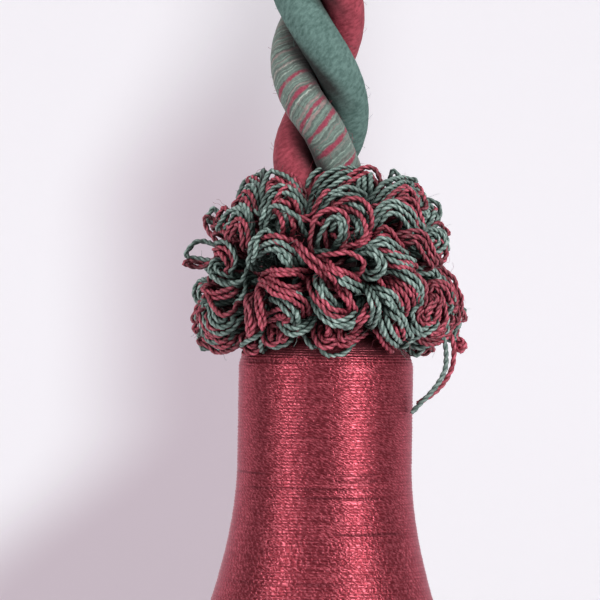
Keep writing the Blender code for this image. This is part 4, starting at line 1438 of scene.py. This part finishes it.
# The share of its half length that a yarn takes to come to the light.
LIT_SHARE = {"front": 0.95, "round": 0.60, "loose": 0.2}
LIT_POWER = 2.3
YARN_FINISHES = {"G": ("green", green_yarn), "B": ("burgundy", burgundy_yarn)}
OPEN_FINISHES = {"G": ("green", green_open_yarn), "B": ("burgundy", burgundy_open_yarn)}


# The yarn finish paints this light into a loop's colour, as shade near its feet.
def lit_values(line, lit_share):
    """How much light reaches each point of a loop: less near its feet, deep among the others."""
    run = run_along(line)
    half = run[-1] / 2
    return [min(1.0, min(at, run[-1] - at) / half / lit_share) ** LIT_POWER for at in run]


def plied_yarns(name, lines, material, twist, extras=None):
    """Yarns of two plies along the lines, as one piece."""
    radius, offset, length = twist
    host = host_of_lines(name, lines, [pick.uniform(0.0, 1.0) for _ in lines], extras)
    return grow(host, PLIED_YARN, **{"Ply Radius": radius * MM, "Ply Offset": offset * MM,
                                     "Twist Length": length * MM, "Sides": PLY_SIDES,
                                     "Material": material})


def yarn_piece(name, lines, material, lit_share):
    lit = [value for line in lines for value in lit_values(line, lit_share)]
    piece = plied_yarns(name, lines, material, RUFF_TWIST, {"lit": lit})
    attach(piece, "root")
    return piece


def lines_of(letter, group):
    return [line for colour, line in group if colour == letter]


for letter, (colour, material) in YARN_FINISHES.items():
    for part, group in (("front", yarns[:front_count]), ("round", yarns[front_count:loose_from])):
        yarn_piece("ruff_" + colour + "_" + part, lines_of(letter, group),
                                      material, LIT_SHARE[part])
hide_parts("loop_ruff")
for letter, (colour, material) in OPEN_FINISHES.items():
    yarn_piece("loose_end_" + colour, lines_of(letter, yarns[loose_from:]), material,
               LIT_SHARE["loose"])


# %% Backing sleeve
# radius and height over the head (mm)
SLEEVE_SECTION = ((7.0, 2.4), (8.6, 2.4), (9.6, 3.6), (10.4, 5.5), (10.2, 9.0), (10.0, 14.0),
                  (8.8, 17.4), (7.2, 19.2))
SLEEVE_SIDES = 48

# The sleeve's near-black finish is painted shade between the loops.
sleeve_rings = [round_ring(radius, HEAD_TOP + height, SLEEVE_SIDES)
                for radius, height in SLEEVE_SECTION]
backing = ring_skin("ruff_backing", sleeve_rings, {}, dark_core)
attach(backing, "root")

# %% [markdown]
# ## The skirt
# The skirt is a heading with some 250 hanging yarns. Each hangs nearly straight, drawn in a
# little lower down, and their cut ends are not level.

# %% Skirt strands
SKIRT_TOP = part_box("skirt")[1][2] / MM
SKIRT_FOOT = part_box("skirt")[0][2] / MM
SKIRT_ROWS = ((20.6, 78), (19.2, 74), (17.4, 60), (15.4, 44))  # radius (mm) and yarns round
SKIRT_TWIST = (0.40, 0.34, 3.6)  # a ply's radius, its offset and the length of a turn, in mm
SKIRT_STEPS = 28
SKIRT_ROOT = 0.6              # how far under the heading's top the yarns start
SKIRT_DRAWN_IN = 0.07         # how much closer they hang at the foot, as a share
GREEN_SHARE = 0.22


def skirt_lines():
    groups = {"G": [], "B": []}
    for radius, around in SKIRT_ROWS:
        for k in range(around):
            turn = math.tau * (k + pick.uniform(-0.3, 0.3)) / around
            foot = SKIRT_FOOT + pick.uniform(0.2, 3.4)
            reach = radius + pick.uniform(-0.3, 0.3)
            bow = pick.uniform(-0.7, 0.7)
            swing = pick.uniform(-0.035, 0.035)
            line = []
            for i in range(SKIRT_STEPS + 1):
                share = i / SKIRT_STEPS
                r = reach * (1.0 - SKIRT_DRAWN_IN * share) + bow * math.sin(math.pi * share)
                a = turn + swing * math.sin(math.pi * share * 1.3)
                height = SKIRT_TOP - SKIRT_ROOT + (foot - SKIRT_TOP + SKIRT_ROOT) * share
                line.append(Vector((r * math.cos(a), r * math.sin(a), height)))
            groups["G" if pick.random() < GREEN_SHARE else "B"].append(line)
    return groups


skirt_groups = skirt_lines()
for letter, (colour, material) in OPEN_FINISHES.items():
    piece = plied_yarns("skirt_" + colour, skirt_groups[letter], material, SKIRT_TWIST)
    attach(piece, "root")
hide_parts("skirt")

# %% Skirt heading
# radius and height over the skirt's top (mm)
HEADING_SECTION = ((14.6, -1.6), (21.2, -1.6), (21.4, -0.8), (21.2, 0.0), (14.6, 0.0))
HEADING_SIDES = 64

heading_rings = [round_ring(radius, SKIRT_TOP + height, HEADING_SIDES)
                 for radius, height in HEADING_SECTION]
heading = ring_skin("skirt_heading", heading_rings, {}, burgundy_open_yarn)
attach(heading, "root")

# %% [markdown]
# ## Loose fibres
# Spun yarn sheds fine fibres that stand off it. Some nine hundred hair-thin strands round the
# ruff give the soft edge that real yarn has, as those on the rope do there.


# %% Stray fibres
FIBRES = {"G": 500, "B": 420}
FIBRE_LENGTH = 2.6
FIBRE_RADIUS = 0.022
FIBRE_STEPS = 6
FIBRE_JITTER = 0.35           # how much a fibre changes its way at each step


def stray(size):
    return Vector((pick.gauss(0, size), pick.gauss(0, size), pick.gauss(0, size)))


def fibre_lines(sources, count):
    """Short wandering lines that start on random points of the sources."""
    lines = []
    for _ in range(count):
        fibre = [pick.choice(pick.choice(sources))]
        way = stray(1).normalized()
        for _ in range(FIBRE_STEPS):
            way = (way + stray(FIBRE_JITTER)).normalized()
            fibre.append(fibre[-1] + way * FIBRE_LENGTH * pick.uniform(0.6, 1.2) / FIBRE_STEPS)
        lines.append(fibre)
    return lines


for letter, (colour, material) in YARN_FINISHES.items():
    lines = fibre_lines(lines_of(letter, yarns[:inner_from]), FIBRES[letter])
    host = host_of_lines("stray_fibres_" + colour, lines, [pick.uniform(0.4, 1.0) for _ in lines])
    piece = grow(host, ROUND_STRAND, Radius=FIBRE_RADIUS * MM, Sides=FIBRE_SIDES,
                 Material=material)
    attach(piece, "root")

# %% [markdown]
# ## Setting, light and camera
# The tassel hangs in a pale studio: a paper floor far below that sweeps up into a backdrop. Two
# tall soft lights stand left and right, because on a wound head they make the two upright bands
# of sheen that satin thread shows. The camera is level with the ruff.


# %% Floor and backdrop
FLOOR_LEVEL = -1.4            # metres under the hanging point
PAPER_LIGHT = (0.903, 0.885, 0.915)
PAPER_SHADE_LOW = (0.565, 0.487, 0.535)
PAPER_SHADE_HIGH = (0.560, 0.530, 0.560)
STAGE_HALF_WIDTH = 4.0        # metres, as are the sizes below
STAGE_FRONT = -3.5
SWEEP_FROM = 2.0              # how far behind the tassel the floor starts to sweep up
SWEEP_RADIUS = 1.2
WALL_TOP = 2.6
STAGE_STEPS = 8               # faces in half its width, and in the sweep


def paper_finish():
    """White paper with a painted soft lilac shadow of the tassel beside it, wider lower down."""
    finish = Finish("studio_paper", Roughness=0.95, Specular_IOR_Level=0.1, Emission_Strength=0.33)
    spot = finish.node("ShaderNodeSeparateXYZ", None, {0: finish.place()})
    across, up = (Number(finish, spot.outputs[name]) for name in ("X", "Z"))
    # painted shadow of the tassel: darkest just left of it, weaker at the top, spreading wider lower
    # down
    high = up.step(-0.08, 0.16)
    depth = 1.0 - high * 0.25
    spread = (1.0 - up.step(-0.50, -0.27)) * 0.20 - high * 0.10
    left = (across + spread).step(-0.26, -0.10)
    right = 1.0 - across.step(-0.07, 0.12)
    shade = finish.mix(high, PAPER_SHADE_LOW, PAPER_SHADE_HIGH)
    colour = finish.mix(depth * left * right, PAPER_LIGHT, shade)
    return finish.feed(Base_Color=colour, Emission_Color=colour)


def backdrop():
    """A floor that sweeps up into a wall behind the tassel."""
    across = [STAGE_HALF_WIDTH * (i / STAGE_STEPS - 1) for i in range(2 * STAGE_STEPS + 1)]
    section = [(STAGE_FRONT, FLOOR_LEVEL), (SWEEP_FROM, FLOOR_LEVEL)]
    for i in range(1, STAGE_STEPS + 1):
        turn = math.pi / 2 * i / STAGE_STEPS
        section.append((SWEEP_FROM + SWEEP_RADIUS * math.sin(turn),
                        FLOOR_LEVEL + SWEEP_RADIUS * (1 - math.cos(turn))))
    section.append((SWEEP_FROM + SWEEP_RADIUS, WALL_TOP))
    points = [(x, y, z) for y, z in section for x in across]
    count = len(across)
    faces = [(k * count + i, k * count + i + 1, (k + 1) * count + i + 1, (k + 1) * count + i)
             for k in range(len(section) - 1) for i in range(count - 1)]
    stage = mesh_piece("studio", points, [], faces, {})
    stage.data.materials.append(paper_finish())
    stage.data.shade_smooth()
    return stage


studio = backdrop()


# %% Lights
def soft_light(name, spot, size, power):
    """A rectangular lamp at spot, aimed at the ruff."""
    lamp = bpy.data.lights.new(name, "AREA")
    lamp.shape = "RECTANGLE"
    lamp.size, lamp.size_y = size
    lamp.energy = power
    holder = bpy.data.objects.new(name, lamp)
    holder.location = spot
    aim = Vector((0.0, 0.0, HEAD_TOP * MM)) - Vector(spot)
    holder.rotation_euler = aim.to_track_quat("-Z", "Y").to_euler()
    bpy.context.scene.collection.objects.link(holder)


LAMP_LEVEL = HEAD_TOP * MM + 0.15
soft_light("left_strip", (-1.15, -0.96, LAMP_LEVEL + 0.32), (0.36, 1.5), 14.2)
soft_light("left_rim", (-1.30, 0.85, LAMP_LEVEL), (0.9, 1.5), 3.2)
soft_light("right_rim", (1.30, 0.85, LAMP_LEVEL), (0.9, 1.5), 3.2)
soft_light("right_strip", (1.00, -1.11, LAMP_LEVEL + 0.15), (0.36, 1.5), 22.9)
soft_light("top_soft", (0.3, -0.6, LAMP_LEVEL + 1.4), (1.6, 1.2), 10.0)

DAYLIGHT = (0.88, 0.865, 0.895, 1.0)
DAYLIGHT_STRENGTH = 0.36
world = bpy.data.worlds.new("soft_daylight")
world.use_nodes = True
sky = world.node_tree.nodes["Background"]
sky.inputs["Color"].default_value = DAYLIGHT
sky.inputs["Strength"].default_value = DAYLIGHT_STRENGTH
bpy.context.scene.world = world
bpy.context.scene.view_settings.view_transform = "Standard"

# %% Camera
VIEW_WIDTH = 2 * VIEW_CENTRE[0] / GRID  # mm across the whole view, at the tassel's middle
lens = bpy.data.cameras.new("camera")
lens.sensor_width = 36.0
lens.lens = lens.sensor_width * DRAWN_FROM / VIEW_WIDTH
camera = bpy.data.objects.new("camera", lens)
camera.location = (EYE[0] * MM, -DRAWN_FROM * MM, (HEAD_TOP + EYE[1]) * MM)
camera.rotation_euler = (math.pi / 2, -LEAN, 0.0)
bpy.context.scene.collection.objects.link(camera)
bpy.context.scene.camera = camera
